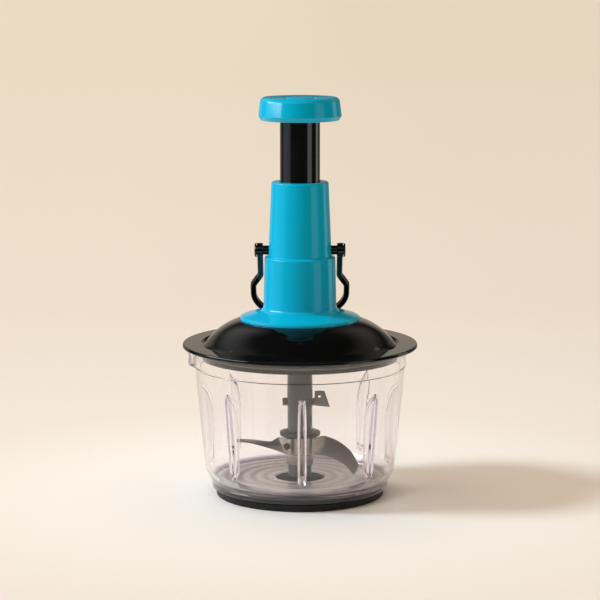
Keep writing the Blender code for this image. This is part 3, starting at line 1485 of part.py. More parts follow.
def make_bail_pins(lid):
    inner = NECK_RADIUS - BAIL_PIN_SINK
    outer = BAIL_EYE_OUTER + SLIP
    tip = outer + BAIL_HEAD_HEIGHT
    end = outer + BAIL_EASE
    for side, name in ((1, "bail_pin_right"), (-1, "bail_pin_left")):
        form = bmesh.new()
        cylinder_bm(form, BAIL_PIN_RADIUS, end - inner, along_x((end + inner) / 2))
        pin = add(name, mesh_of(name, form), black_plastic, lid, (0, 0, BAIL_PIVOT_Z))
        head = bmesh.new()
        cylinder_bm(head, BAIL_HEAD_RADIUS, tip - outer, along_x((outer + tip) / 2), BAIL_SIDES)
        cap = as_cutter(add(name + "_head", mesh_of(name + "_head", head), black_plastic, lid))
        cap.location = (0, 0, BAIL_PIVOT_Z)
        ease = cap.modifiers.new("Ease", "BEVEL")
        ease.width = FINE_EDGE
        ease.segments = 1
        combine(pin, cap, "UNION")
        if side < 0:
            pin.rotation_euler = (0, 0, math.pi)
            cap.rotation_euler = (0, 0, math.pi)
        shade(pin)


make_base_ring()
make_bowl()
make_pivot()

lid = axis_empty("lid_axis")
make_cover(lid)
make_lid_plate(lid)
make_tower(lid)
make_lid_screws(lid)
make_bearings(lid)
make_bail_pins(lid)

plunger = axis_empty("plunger_axis", parent=lid)
make_tube(plunger)
make_knob(plunger)
make_nut(plunger)

drive = axis_empty("drive_axis", parent=lid)
make_drive_screw(drive)
make_coupling(drive)
make_spring(drive, lid)

rotor = axis_empty("rotor_axis")
band_screw_hole = make_blade_screw_hole()
make_shaft(rotor)
make_rotor_rings(rotor)
make_lower_blades(rotor)
make_upper_blade(rotor)

bail_axis = axis_empty("bail_axis", (0, 0, BAIL_PIVOT_Z), lid)
bail_axis.rotation_euler = (bail_lean(), 0, 0)
make_bail(bail_axis)
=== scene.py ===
import math

import bmesh
import bpy
from mathutils import Matrix, Vector


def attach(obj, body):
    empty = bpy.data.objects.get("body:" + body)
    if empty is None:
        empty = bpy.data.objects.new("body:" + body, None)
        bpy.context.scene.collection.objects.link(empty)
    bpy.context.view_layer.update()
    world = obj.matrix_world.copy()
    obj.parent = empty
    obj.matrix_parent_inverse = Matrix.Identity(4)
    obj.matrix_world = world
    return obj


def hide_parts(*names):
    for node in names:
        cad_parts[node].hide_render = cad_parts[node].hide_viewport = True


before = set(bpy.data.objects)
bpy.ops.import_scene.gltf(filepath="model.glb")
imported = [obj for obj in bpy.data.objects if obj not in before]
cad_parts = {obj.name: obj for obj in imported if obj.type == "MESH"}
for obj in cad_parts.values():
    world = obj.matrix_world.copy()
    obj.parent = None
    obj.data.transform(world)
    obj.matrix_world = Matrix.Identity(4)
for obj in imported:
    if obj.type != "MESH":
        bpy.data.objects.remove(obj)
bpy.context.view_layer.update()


# Foot ring: a black EPDM rubber ring that keeps the bowl from sliding.
# It is compression moulded, with a tongue on top that is pressed into a groove
# in the underside of the bowl.

RING_PROFILE = (
    (0.0585, 0.0057, 0),
    (0.0595, 0.0047, 0.0006),
    (0.0589, 0, 0.0008),
    (0.0480, 0, 0.0006),
    (0.0480, 0.0057, 0.0004),
    (0.0532, 0.0057, 0),
    (0.0532, 0.0082, 0.0003),
    (0.0572, 0.0082, 0.0003),
    (0.0572, 0.0057, 0),
)


def linear(hex_colour):
    """The linear colour of an sRGB hex value, as a material socket takes it."""
    channels = [int(hex_colour[i:i + 2], 16) / 255 for i in (1, 3, 5)]
    return (*[c / 12.92 if c < 0.04045 else ((c + 0.055) / 1.055) ** 2.4 for c in channels], 1.0)


def feed(node, inputs):
    """Sets a node's inputs. Each takes a value, a socket, or a node, by its output."""
    for key, value in inputs.items():
        if isinstance(value, bpy.types.Node):
            value = next(output for output in value.outputs if output.enabled)
        if isinstance(value, bpy.types.NodeSocket):
            node.id_data.links.new(value, node.inputs[key])
        else:
            node.inputs[key].default_value = value


def add_node(tree, kind, inputs=None, **settings):
    """A shader node of a kind, with its settings and then its inputs."""
    made = tree.nodes.new("ShaderNode" + kind)
    for name, value in settings.items():
        setattr(made, name, value)
    feed(made, inputs or {})
    return made


def new_finish(name, **constants):
    """An empty material with a Principled shader, whose plain sockets are set here."""
    finish = bpy.data.materials.new(name)
    finish.use_nodes = True
    shader = finish.node_tree.nodes["Principled BSDF"]
    for socket, value in constants.items():
        shader.inputs[socket.replace("_", " ")].default_value = value
    return finish, finish.node_tree, shader


def eased(corners, steps=5, closed=True):
    """A line through corners (radius, height, ease), each corner eased by an arc."""
    line = []
    last = len(corners) - 1
    for index, (across, up, ease) in enumerate(corners):
        here = Vector((across, up))
        if ease == 0 or (not closed and index in (0, last)):
            line.append(here)
            continue
        back = (Vector(corners[index - 1][:2]) - here).normalized()
        ahead = (Vector(corners[(index + 1) % len(corners)][:2]) - here).normalized()
        half = back.angle(ahead) / 2
        centre = here + (back + ahead).normalized() * ease / math.sin(half)
        start = here + back * ease / math.tan(half) - centre
        sweep = start.angle_signed(here + ahead * ease / math.tan(half) - centre)
        for step in range(steps + 1):
            arm = start.copy()
            arm.rotate(Matrix.Rotation(-sweep * step / steps, 2))
            line.append(centre + arm)
    return line


def skin(form, rings, closed):
    """Faces between rows of vertices. A row of one vertex is a pole."""
    pairs = list(zip(rings, rings[1:])) + ([(rings[-1], rings[0])] if closed else [])
    for low, high in pairs:
        count = max(len(low), len(high))
        for index in range(count):
            corners = [low[index % len(low)], low[(index + 1) % len(low)]]
            corners += [high[(index + 1) % len(high)], high[index % len(high)]]
            form.faces.new(dict.fromkeys(corners))


def turned_form(form, line, around=144, closed=True):
    """A line (radius, height) turned round Z, as a lathe or a round mould makes it.

    A radius may also be a function of the angle, for a piece with flats.
    """
    turns = [math.tau * index / around for index in range(around)]
    rings = []
    for radius, height in line:
        if radius == 0:
            rings.append([form.verts.new((0, 0, height))])
            continue
        reach = [radius(turn) if callable(radius) else radius for turn in turns]
        spots = [(far * math.cos(turn), far * math.sin(turn), height) for far, turn in zip(reach, turns)]
        rings.append([form.verts.new(spot) for spot in spots])
    skin(form, rings, closed)


def finished(name, form, finish, sharp=32):
    """The form as a piece: faces out, smooth but for its real corners."""
    bmesh.ops.recalc_face_normals(form, faces=form.faces)
    mesh = bpy.data.meshes.new(name)
    form.to_mesh(mesh)
    form.free()
    mesh.shade_smooth()
    mesh.set_sharp_from_angle(angle=math.radians(sharp))
    mesh.materials.append(finish)
    piece = bpy.data.objects.new(name, mesh)
    bpy.context.scene.collection.objects.link(piece)
    even = piece.modifiers.new("even_shading", "WEIGHTED_NORMAL")
    even.keep_sharp = True
    even.weight = 80
    return piece


# The rubber is a dull black with the fine grain of the mould (0.3 mm, drawn at 0.8 mm so that it
# shows) and a little pale dust in it, so that it reads softer than the gloss plastic above.
foot_rubber, tree, shader = new_finish("foot_ring_epdm_rubber", IOR=1.5, Specular_IOR_Level=0.35)
spots = add_node(tree, "TexCoord").outputs["Object"]
grain = add_node(tree, "TexNoise", {"Vector": spots, "Scale": 1250.0, "Detail": 3.0})
dust = add_node(tree, "TexNoise", {"Vector": spots, "Scale": 90.0, "Detail": 6.0, "Roughness": 0.7})
dusty = add_node(tree, "MapRange", {"Value": dust, "From Min": 0.5, "From Max": 0.75})
blacks = {6: linear("#0d0a08"), 7: linear("#1a1613")}
tint = add_node(tree, "Mix", {"Factor": dusty, **blacks}, data_type="RGBA")
dull = add_node(tree, "MapRange", {"Value": grain, "To Min": 0.42, "To Max": 0.62})
relief = add_node(tree, "Bump", {"Height": grain, "Strength": 0.35, "Distance": 0.00008})
feed(shader, {"Base Color": tint, "Roughness": dull, "Normal": relief})

form = bmesh.new()
turned_form(form, eased(RING_PROFILE))
foot_ring = finished("foot_ring", form, foot_rubber)
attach(foot_ring, "bowl_body")
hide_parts("base_ring")


# Bowl: a clear SAN (styrene acrylonitrile) vessel, injection moulded in one shot with eight
# flutes folded inwards, a foot band, a thick rim band and a lifting lug on its left.

BOWL_PROFILE = (
    (0.0744, 0.1055, 0.0008),
    (0.0744, 0.0920, 0.0004),
    (0.0734, 0.0912, 0.0003),
    (0.0725, 0.0772, 0),
    (0.0676, 0.0267, 0.030),
    (0.0662, 0.0175, 0.010),
    (0.0625, 0.0108, 0.0015),
    (0.0619, 0.0060, 0.0004),
    (0.0575, 0.0060, 0.0003),
    (0.0575, 0.0085, 0),
    (0.0529, 0.0085, 0),
    (0.0529, 0.0060, 0.0003),
    (0.0510, 0.0060, 0.0003),
    (0.0502, 0.0095, 0.0006),
    (0.0198, 0.0095, 0.0004),
    (0.0194, 0.0070, 0.0003),
    (0.0028, 0.0070, 0),
    (0.0028, 0.0092, 0),
    (0.0176, 0.0092, 0.0003),
    (0.0176, 0.0120, 0.0004),
    (0.0604, 0.0120, 0.0012),
    (0.0640, 0.0182, 0.010),
    (0.0653, 0.0267, 0.014),
    (0.0700, 0.0772, 0),
    (0.0709, 0.0920, 0.010),
    (0.0709, 0.1055, 0.0006),
)
FLOOR_TOP_Z = 0.0120
FLOOR_RADIUS = 0.0598
FLUTES = 8
FLUTE_TURN = math.radians(1.2)
RIB = {"half": 0.0027, "tip": 0.0017, "crest": 0.0600, "low": 0.0200, "high": 0.0790, "shoulder": 0.0270}
GROOVE = {"half": 0.0016, "tip": 0.0010, "crest": 0.0611, "low": 0.0232, "high": 0.0774, "shoulder": 0.0262}
SLIMMEST = 0.35
SPREAD_LIMIT = math.radians(12)
ENTRY = 0.0005
LUG = {"half": 0.0055, "crest": 0.0785, "low": 0.0905, "high": 0.1020, "ease": 0.0025, "entry": 0.0012}
ENTRY_STEPS = 4
SIDE_STEPS = 3
ROUND_STEPS = 7
ARC_STEPS = 9
ROW_SPACING = 0.0016
UNDERSIDE_RADIUS = 0.0500


def fold_path(half, tip, depth, entry):
    """Half a fold's cross-section, from the wall to its middle, as (sideways, inwards).

    An eased entry, a side that closes from half to tip, and a round end of radius tip.
    """
    size = abs(depth)
    squeeze = min(1.0, size / (entry + tip))
    path = []
    for step in range(ENTRY_STEPS):
        turn = math.pi / 2 * step / ENTRY_STEPS
        path.append((half + entry * (1 - math.sin(turn)), entry * (1 - math.cos(turn)) * squeeze))
    straight = max(size - entry - tip, 0)
    for step in range(SIDE_STEPS):
        share = step / SIDE_STEPS
        path.append((half + (tip - half) * share, entry * squeeze + straight * share))
    for step in range(ROUND_STEPS + 1):
        turn = math.pi / 2 * step / ROUND_STEPS
        path.append((tip * math.cos(turn), size - tip * (1 - math.sin(turn)) * squeeze))
    return [(across, math.copysign(inwards, depth)) for across, inwards in path]


def flute_shape(fold, radius, height):
    """A flute's half width, end radius and depth at a height: a round foot and a long round top."""
    if not fold["low"] < height < fold["high"]:
        return fold["half"], fold["tip"], 0.0
    rise = min(1.0, max(0.0, (height - fold["high"] + fold["shoulder"]) / fold["shoulder"]))
    foot = min(1.0, (height - fold["low"]) / (2 * fold["half"]))
    close = math.sqrt(1 - rise ** 2)
    swell = math.sqrt(1 - (1 - foot) ** 2)
    depth = max(radius - fold["crest"], 0.0) * close * swell
    slim = SLIMMEST + (1 - SLIMMEST) * math.sqrt(close * swell)
    return fold["half"] * slim, fold["tip"] * slim, depth


def bowl_row(form, radius, height, is_outer):
    """One row of vertices round the bowl, folded in at each flute and out at the lug."""
    fold = GROOVE if is_outer else RIB
    folds = []
    for index in range(FLUTES):
        centre = FLUTE_TURN + math.tau * index / FLUTES
        half, tip, depth = flute_shape(fold, radius, height)
        path = fold_path(half, tip, depth, ENTRY)
        if is_outer and index == FLUTES // 2 and LUG["low"] < height < LUG["high"]:
            centre = math.pi
            edge = min(height - LUG["low"], LUG["high"] - height, LUG["ease"])
            inset = LUG["ease"] - math.sqrt(LUG["ease"] ** 2 - (LUG["ease"] - edge) ** 2)
            broad = LUG["half"] - inset
            path = fold_path(broad, broad, radius - LUG["crest"] + inset, LUG["entry"])
        narrowed = min(1.0, radius * math.sin(SPREAD_LIMIT) / path[0][0])
        folds.append((centre, [(across * narrowed, inwards) for across, inwards in path]))
    row = []
    for index, (centre, path) in enumerate(folds):
        both = [(-across, inwards) for across, inwards in path] + list(reversed(path[:-1]))
        for across, inwards in both:
            local = Vector((math.sqrt(radius ** 2 - across ** 2) - inwards, across, height))
            row.append(Matrix.Rotation(centre, 3, "Z") @ local)
        next_centre, next_path = folds[(index + 1) % FLUTES]
        first = centre + math.asin(path[0][0] / radius)
        onward = next_centre - math.asin(next_path[0][0] / radius)
        onward += math.tau if onward < first else 0
        for step in range(1, ARC_STEPS):
            turn = first + (onward - first) * step / ARC_STEPS
            row.append(Vector((radius * math.cos(turn), radius * math.sin(turn), height)))
    return [form.verts.new(spot) for spot in row]


def stepped(line, longest):
    """The same closed line with its long spans cut to short ones."""
    fine = []
    for here, after in zip(line, line[1:] + line[:1]):
        cuts = max(1, math.ceil((after - here).length / longest))
        fine += [here.lerp(after, cut / cuts) for cut in range(cuts)]
    return fine


# Moulded SAN is glass clear, with sharp reflections and bright lines where its corners bend the light.
# A violet-grey at its foot corner and a violet tint where its wall is seen edge-on are painted shade
# and painted edge sheen in its colour. Its bump is the slow ripple of the melt (about 20 mm). Hairline
# scratches of washing, drawn about 1 mm apart, change its gloss. The floor is slightly matte, with soft
# rings 9 mm apart; its warm grey is the painted shade of the paper below, and the light and dark bands
# along its rings are painted highlight and shade. Light that is turned back a second time inside the
# wall is let out, or it would go black, and lamps shine through, so the shadow is pale.
WATER_CLEAR = linear("#fefdff")
PAINTED_VIOLET_EDGE = linear("#8f8897")
FLOOR_RING_WAVE = 700.0
FLOOR_MATTE = 0.24
FLOOR_BAND = 0.0002
PAINTED_EDGE_RADII = {"From Min": 0.0585, "From Max": 0.0600}
PAINTED_EDGE_HEIGHTS = {"From Min": 0.0145, "From Max": 0.0125}

clear_san, tree, shader = new_finish("bowl_clear_moulded_san", IOR=1.5, Transmission_Weight=1.0)
spots = add_node(tree, "TexCoord").outputs["Object"]
ripple = add_node(tree, "TexNoise", {"Vector": spots, "Scale": 50.0, "Detail": 1.0})
turned_spots = add_node(tree, "Mapping", {"Vector": spots, "Scale": (260.0, 260.0, 14.0)})
hairs = add_node(tree, "TexNoise", {"Vector": turned_spots, "Scale": 3.0, "Detail": 2.0})
scuffs = add_node(tree, "MapRange", {"Value": hairs, "From Min": 0.62, "From Max": 0.8})
haze = add_node(tree, "MapRange", {"Value": scuffs, "To Min": 0.004, "To Max": 0.035})
apart = add_node(tree, "SeparateXYZ", {"Vector": spots}).outputs
flat_spots = add_node(tree, "CombineXYZ", {"X": apart["X"], "Y": apart["Y"]})
from_axis = add_node(tree, "VectorMath", {0: flat_spots}, operation="LENGTH")
low = add_node(tree, "Math", {0: apart["Z"], 1: FLOOR_TOP_Z, 2: FLOOR_BAND}, operation="COMPARE")
central = add_node(tree, "Math", {0: from_axis, 1: FLOOR_RADIUS}, operation="LESS_THAN")
on_floor = add_node(tree, "Math", {0: low, 1: central}, operation="MULTIPLY")
matte = add_node(tree, "Math", {0: on_floor, 1: FLOOR_MATTE}, operation="MULTIPLY")
rough = add_node(tree, "Math", {0: haze, 1: matte}, operation="ADD")
turning = add_node(tree, "Math", {0: from_axis, 1: FLOOR_RING_WAVE}, operation="MULTIPLY")
cuts = add_node(tree, "Math", {0: turning}, operation="SINE")
floor_cuts = add_node(tree, "Math", {0: cuts, 1: on_floor}, operation="MULTIPLY")
veil = add_node(tree, "MapRange", {"Value": cuts, "From Min": -1.0, "To Min": 0.06, "To Max": 0.36})
floor_veil = add_node(tree, "Math", {0: veil, 1: on_floor}, operation="MULTIPLY")
clear_share = add_node(tree, "Math", {0: 1.0, 1: floor_veil}, operation="SUBTRACT")
height = add_node(tree, "Math", {0: floor_cuts, 1: 0.35, 2: ripple}, operation="MULTIPLY_ADD")
wave = add_node(tree, "MapRange", {"Value": cuts, "From Min": -1.0})
# Painted on the floor: its warm grey stands for the shade of the paper below, and the light and dark bands
# along its rings are painted highlight and shade.
painted_ring_shades = {6: linear("#c3b4ab"), 7: linear("#fff1e8")}
painted_ring_bands = add_node(tree, "Mix", {"Factor": wave, **painted_ring_shades}, data_type="RGBA")
floor_tint = add_node(tree, "Mix", {"Factor": on_floor, 6: WATER_CLEAR, 7: painted_ring_bands}, data_type="RGBA")
# Painted shade and sheen: a violet-grey at the foot corner, and a violet tint where the wall is seen edge-on,
# mixed into the base colour.
outwards = add_node(tree, "MapRange", {"Value": from_axis, **PAINTED_EDGE_RADII})
downwards = add_node(tree, "MapRange", {"Value": apart["Z"], **PAINTED_EDGE_HEIGHTS})
corner = add_node(tree, "Math", {0: outwards, 1: downwards}, operation="MULTIPLY")
slant = add_node(tree, "LayerWeight", {"Blend": 0.5}).outputs["Facing"]
grazing = add_node(tree, "MapRange", {"Value": slant, "From Min": 0.72, "From Max": 1.0})
thick = add_node(tree, "Math", {0: corner, 1: grazing}, operation="MAXIMUM")
painted_edge_tint = add_node(tree, "Mix", {"Factor": thick, 6: floor_tint, 7: PAINTED_VIOLET_EDGE}, data_type="RGBA")
relief = add_node(tree, "Bump", {"Height": height, "Strength": 0.06, "Distance": 0.0003})
feed(shader, {"Base Color": painted_edge_tint, "Roughness": rough, "Transmission Weight": clear_share, "Normal": relief})
path = add_node(tree, "LightPath").outputs
piped = add_node(tree, "Math", {0: path["Glossy Depth"], 1: 1.5}, operation="GREATER_THAN")
set_free = add_node(tree, "BsdfTransparent", {"Color": linear("#f7f6fa")})
wall = add_node(tree, "MixShader", {0: piped, 1: shader, 2: set_free})
let_through = add_node(tree, "BsdfTransparent", {"Color": linear("#dcd8d6")})
seen = add_node(tree, "MixShader", {0: path["Is Shadow Ray"], 1: wall, 2: let_through})
feed(tree.nodes["Material Output"], {"Surface": seen})

form = bmesh.new()
rings = []
outer_side = True
for radius, height in stepped(eased(BOWL_PROFILE, steps=6), ROW_SPACING):
    outer_side = outer_side and radius > UNDERSIDE_RADIUS
    rings.append(bowl_row(form, radius, height, outer_side))
skin(form, rings, True)
clear_bowl = finished("clear_bowl", form, clear_san, sharp=50)
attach(clear_bowl, "bowl_body")
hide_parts("bowl")


# Well disc and pivot pin: a black glass-filled nylon disc pressed into the round well of the
# floor, and the turned steel pin on which the blade unit turns.

SEAT_PROFILE = (
    (0.0173, 0.0114, 0.0004),
    (0.0173, 0.0095, 0),
    (0.0028, 0.0095, 0),
    (0.0028, 0.0122, 0),
    (0.0058, 0.0122, 0.0004),
    (0.0062, 0.0114, 0.0003),
)


def moulded_plastic(name, colour, pale, roughness, grain=0.06, **constants):
    """A moulded plastic: its colour drifts a little, and hairlines and smudges change its gloss.

    The drift follows the melt (about 30 mm), the smudges are finger marks (about 12 mm), and the
    hairlines are wiping marks, drawn 0.5 mm apart and wider than real ones so that they show.
    """
    finish, tree, shader = new_finish(name, **constants)
    spots = add_node(tree, "TexCoord").outputs["Object"]
    melt = add_node(tree, "TexNoise", {"Vector": spots, "Scale": 33.0, "Detail": 3.0})
    smudge = add_node(tree, "TexNoise", {"Vector": spots, "Scale": 85.0, "Detail": 5.0, "Distortion": 0.6})
    wipes = {"Scale": (2000.0, 150.0, 2000.0), "Rotation": (0.4, 0.3, 0.6)}
    wiping = add_node(tree, "Mapping", {"Vector": spots, **wipes})
    hairs = add_node(tree, "TexNoise", {"Vector": wiping, "Scale": 1.0, "Detail": 2.0})
    edges = add_node(tree, "NewGeometry").outputs["Pointiness"]
    worn = add_node(tree, "MapRange", {"Value": edges, "From Min": 0.53, "From Max": 0.62})
    drift = add_node(tree, "MapRange", {"Value": melt, "From Min": 0.3, "From Max": 0.7, "To Max": 0.35})
    most = add_node(tree, "Math", {0: worn, 1: drift}, operation="MAXIMUM")
    tint = add_node(tree, "Mix", {"Factor": most, 6: linear(colour), 7: linear(pale)}, data_type="RGBA")
    marks = add_node(tree, "Math", {0: smudge, 1: hairs}, operation="MULTIPLY")
    gloss = add_node(tree, "MapRange", {"Value": marks, "From Min": 0.15, "From Max": 0.42})
    feed(gloss, {"To Min": roughness * 0.8, "To Max": roughness * 1.35})
    relief = add_node(tree, "Bump", {"Height": hairs, "Strength": grain, "Distance": 0.00005})
    feed(shader, {"Base Color": tint, "Roughness": gloss, "Normal": relief})
    return finish


# Glass-filled nylon is nearly black here and matte, and its fibres show as faint streaks.
seat_nylon = moulded_plastic(
    "well_disc_glass_filled_nylon", "#0d0b0b", "#151313", 0.6, grain=0.2, IOR=1.53, Specular_IOR_Level=0.05
)

form = bmesh.new()
turned_form(form, eased(SEAT_PROFILE), around=96)
well_disc = finished("well_disc", form, seat_nylon)
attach(well_disc, "bowl_body")
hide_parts("pivot_seat")


def metal(name, dull, bright, roughness, strokes, depth=0.2):
    """A steel whose strokes, from the tool that made its surface, change its shine and relief.

    strokes scales the pattern along each axis, in strokes to a metre.
    """
    finish, tree, shader = new_finish(name, Metallic=1.0)
    spots = add_node(tree, "TexCoord").outputs["Object"]
    along = add_node(tree, "Mapping", {"Vector": spots, "Scale": strokes})
    lines = add_node(tree, "TexNoise", {"Vector": along, "Scale": 1.0, "Detail": 3.0})
    stain = add_node(tree, "TexNoise", {"Vector": spots, "Scale": 120.0, "Detail": 4.0})
    both = add_node(tree, "Math", {0: lines, 1: stain}, operation="MULTIPLY")
    amount = add_node(tree, "MapRange", {"Value": both, "From Min": 0.12, "From Max": 0.4})
    tint = add_node(tree, "Mix", {"Factor": amount, 6: linear(dull), 7: linear(bright)}, data_type="RGBA")
    sheen = add_node(tree, "MapRange", {"Value": lines, "From Min": 0.3, "From Max": 0.7})
    feed(sheen, {"To Min": roughness * 0.75, "To Max": roughness * 1.3})
    relief = add_node(tree, "Bump", {"Height": lines, "Strength": depth, "Distance": 0.00003})
    feed(shader, {"Base Color": tint, "Roughness": sheen, "Normal": relief})
    return finish


def refinish(names, finish):
    """A better material on CAD nodes whose shape is kept."""
    for name in names:
        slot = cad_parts[name].material_slots[0]
        slot.link = "OBJECT"
        slot.material = finish


# The pin and the screws are turned steel: fine rings from the lathe, 0.1 mm apart, drawn at 0.4 mm.
turned_steel = metal("pin_and_screw_turned_steel", "#8f8880", "#c9c3ba", 0.24, (250.0, 250.0, 2500.0))
refinish(["pivot_pin"], turned_steel)


# Blade shaft: a hollow grey nylon post, moulded round, with a waist below the upper blade and a
# hexagonal socket in its top that the drive turns; its slot for that blade is not cut here. Its bush
# is acetal.

SHAFT_PROFILE = (
    (0.0091, 0.1040, 0.0006),
    (0.0091, 0.0692, 0.0002),
    (0.0088, 0.0689, 0.0002),
    (0.0088, 0.0416, 0.0002),
    (0.0083, 0.0413, 0),
    (0.0083, 0.0125, 0.0004),
    (0.0058, 0.0125, 0),
    (0.0058, 0.0248, 0),
    (0.0029, 0.0248, 0),
    (0.0029, 0.0305, 0),
    (0, 0.0305, 0),
)
SOCKET_FLATS = 0.0050
SOCKET_BOTTOM_Z = 0.0900
SOCKET_LIP = 0.0085
SHAFT_TOP_Z = 0.1040


def flat_sided(flats, sides=6):
    """The radius at each angle of a regular outline whose flats are this far from its middle."""
    turn = math.tau / sides
    return lambda angle: flats / math.cos((angle + turn / 2) % turn - turn / 2)


# Grey nylon: warm mid grey, satin, with the faint upright flow lines of a long thin moulding.
shaft_nylon = moulded_plastic("shaft_grey_nylon", "#4a4848", "#565454", 0.3, grain=0.15, IOR=1.53)
acetal = moulded_plastic("bush_white_acetal", "#e4e0d6", "#efece4", 0.4, IOR=1.48)

form = bmesh.new()
outer = eased(SHAFT_PROFILE, closed=False)
socket_flat = flat_sided(SOCKET_FLATS)
socket = [(0, SOCKET_BOTTOM_Z), (socket_flat, SOCKET_BOTTOM_Z), (socket_flat, SHAFT_TOP_Z)]
turned_form(form, socket + [(SOCKET_LIP, SHAFT_TOP_Z)] + outer[1:], around=96, closed=False)
shaft = finished("shaft", form, shaft_nylon)
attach(shaft, "blades")
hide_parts("blade_shaft")
refinish(["pivot_bush"], acetal)


# Collar, blade band and steel ring: a nylon collar over the blades, drawn nearly black with painted
# shade, a steel band folded to twelve flats that carries them, and a turned steel ring under it.

COLLAR_PROFILE = (
    (0.0101, 0.0448, 0.0004),
    (0.0143, 0.0444, 0.0006),
    (0.0143, 0.0419, 0.0004),
    (0.0091, 0.0419, 0),
    (0.0091, 0.0448, 0),
)
STEEL_RING_PROFILE = (
    (0.0095, 0.0289, 0.0004),
    (0.0095, 0.0210, 0.0004),
    (0.0086, 0.0210, 0),
    (0.0086, 0.0289, 0),
)
BAND_SIDES = 12
BAND_RADIUS = 0.0120
BAND_HOLE = 0.0087
BAND_TOP_Z = 0.0412
BAND_BOTTOM_Z = 0.0294
BAND_FLATS = BAND_RADIUS * math.cos(math.pi / BAND_SIDES)
BAND_EASE = 0.0002

# The collar is the same kind of nylon. Its near-black is partly its own dark grey and partly painted
# shade, as its top lies in shade. It has a satin skin that mirrors little.
collar_nylon_painted_shade = moulded_plastic(
    "collar_dark_nylon_painted_shade", "#191817", "#242322", 0.35, grain=0.15, IOR=1.53, Specular_IOR_Level=0.35
)

form = bmesh.new()
turned_form(form, eased(COLLAR_PROFILE), around=96)
collar = finished("collar", form, collar_nylon_painted_shade)
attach(collar, "blades")
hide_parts("shaft_collar")

# Stainless blade steel is rolled and then brushed along the blade: a soft, warm grey with streaked
# reflections. Its strokes, 0.1 mm apart, are drawn 2 mm apart so that they show. The ring's lathe
# marks run round it, and are drawn at 0.4 mm.
blade_steel = metal(
    "blade_brushed_stainless_steel", "#b0a89d", "#bab1a6", 0.38, (90.0, 90.0, 500.0), depth=0.02
)
ring_steel = metal("ring_turned_steel", "#857e76", "#b9b2a9", 0.2, (200.0, 200.0, 2500.0))

form = bmesh.new()
band_flat = flat_sided(BAND_FLATS, BAND_SIDES)
band_edge = flat_sided(BAND_FLATS - BAND_EASE, BAND_SIDES)
band_line = (
    (band_edge, BAND_TOP_Z),
    (band_flat, BAND_TOP_Z - BAND_EASE),
    (band_flat, BAND_BOTTOM_Z + BAND_EASE),
    (band_edge, BAND_BOTTOM_Z),
    (BAND_HOLE, BAND_BOTTOM_Z),
    (BAND_HOLE, BAND_TOP_Z),
)
turned_form(form, band_line)
band = finished("band", form, blade_steel, sharp=20)
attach(band, "blades")
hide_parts("blade_band")

form = bmesh.new()
turned_form(form, eased(STEEL_RING_PROFILE), around=96)
steel_ring = finished("steel_ring", form, ring_steel)
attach(steel_ring, "blades")
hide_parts("blade_ring")


# Lower blades: two swept blades of 1.2 mm stainless sheet, ground to an edge below. The right one
# is spot-welded to the band, and the left one has a root plate that a cross-head screw holds.

BAND_HEIGHT = 0.0118
SHEET = 0.0012
# Each station has the blade's upper and lower edge as (x, y, z), in band radii and band heights.
RIGHT_BLADE = (
    ((0.708, -0.858, 0.983), (0.667, -0.900, 0.034)),
    ((1.258, -0.250, 1.025), (1.017, -0.900, 0.000)),
    ((1.567, -0.033, 0.932), (1.433, -0.900, -0.042)),
    ((2.208, -0.092, 0.678), (1.917, -0.917, -0.186)),
    ((2.758, -0.308, 0.314), (2.375, -1.017, -0.398)),
    ((3.150, -0.600, -0.102), (2.717, -1.183, -0.644)),
    ((3.417, -1.000, -0.627), (3.125, -1.475, -1.085)),
)
LEFT_BLADE = (
    ((-0.500, -1.008, 0.975), (-0.500, -1.008, 0.034)),
    ((-1.167, -0.458, 1.000), (-0.775, -0.933, 0.059)),
    ((-1.458, -0.458, 0.873), (-1.167, -0.917, 0.203)),
    ((-1.808, -0.542, 0.737), (-1.642, -0.908, 0.381)),
    ((-2.833, -0.292, 0.780), (-2.817, -1.000, 0.737)),
    ((-3.583, -0.267, 0.814), (-3.575, -0.750, 0.763)),
    ((-3.883, -0.467, 0.805), (-3.892, -0.583, 0.797)),
)
# The sheet's thickness across the blade, as (share of the way down, share of the full thickness).
GROUND = ((0.0, 1.0), (0.5, 1.0), (0.72, 1.0), (0.86, 0.55), (1.0, 0.12))


def smooth_line(points, per_span=8):
    """A smooth line through the points, with a cubic curve between each pair."""
    line = []
    ends = [2 * points[0] - points[1], *points, 2 * points[-1] - points[-2]]
    for first, second, third, fourth in zip(ends, ends[1:], ends[2:], ends[3:]):
        for step in range(per_span):
            t = step / per_span
            straight = second * 2 + (third - first) * t
            bend = (first * 2 - second * 5 + third * 4 - fourth) * t * t
            twist = (second * 3 - first - third * 3 + fourth) * t ** 3
            line.append((straight + bend + twist) / 2)
    line.append(points[-1])
    return line


def blade_form(form, stations, ground):
    """A twisted strip of sheet between two edges. ground gives its thickness across."""
    places = []
    for side in (0, 1):
        corners = []
        for pair in stations:
            x, y, z = pair[side]
            corners.append(Vector((x * BAND_RADIUS, y * BAND_RADIUS, BAND_BOTTOM_Z + z * BAND_HEIGHT)))
        places.append(smooth_line(corners))
    rings = []
    for index, (upper, lower) in enumerate(zip(*places)):
        before = places[0][max(index - 1, 0)] + places[1][max(index - 1, 0)]
        last = len(places[0]) - 1
        after = places[0][min(index + 1, last)] + places[1][min(index + 1, last)]
        across = (lower - upper).normalized()
        face = (after - before).cross(across).normalized()
        front = [upper.lerp(lower, share) + face * SHEET / 2 * thick for share, thick in ground]
        rear = [upper.lerp(lower, share) - face * SHEET / 2 * thick for share, thick in ground]
        rings.append([form.verts.new(spot) for spot in front + rear[::-1]])
    skin(form, rings, False)
    form.faces.new(rings[0])
    form.faces.new(rings[-1])


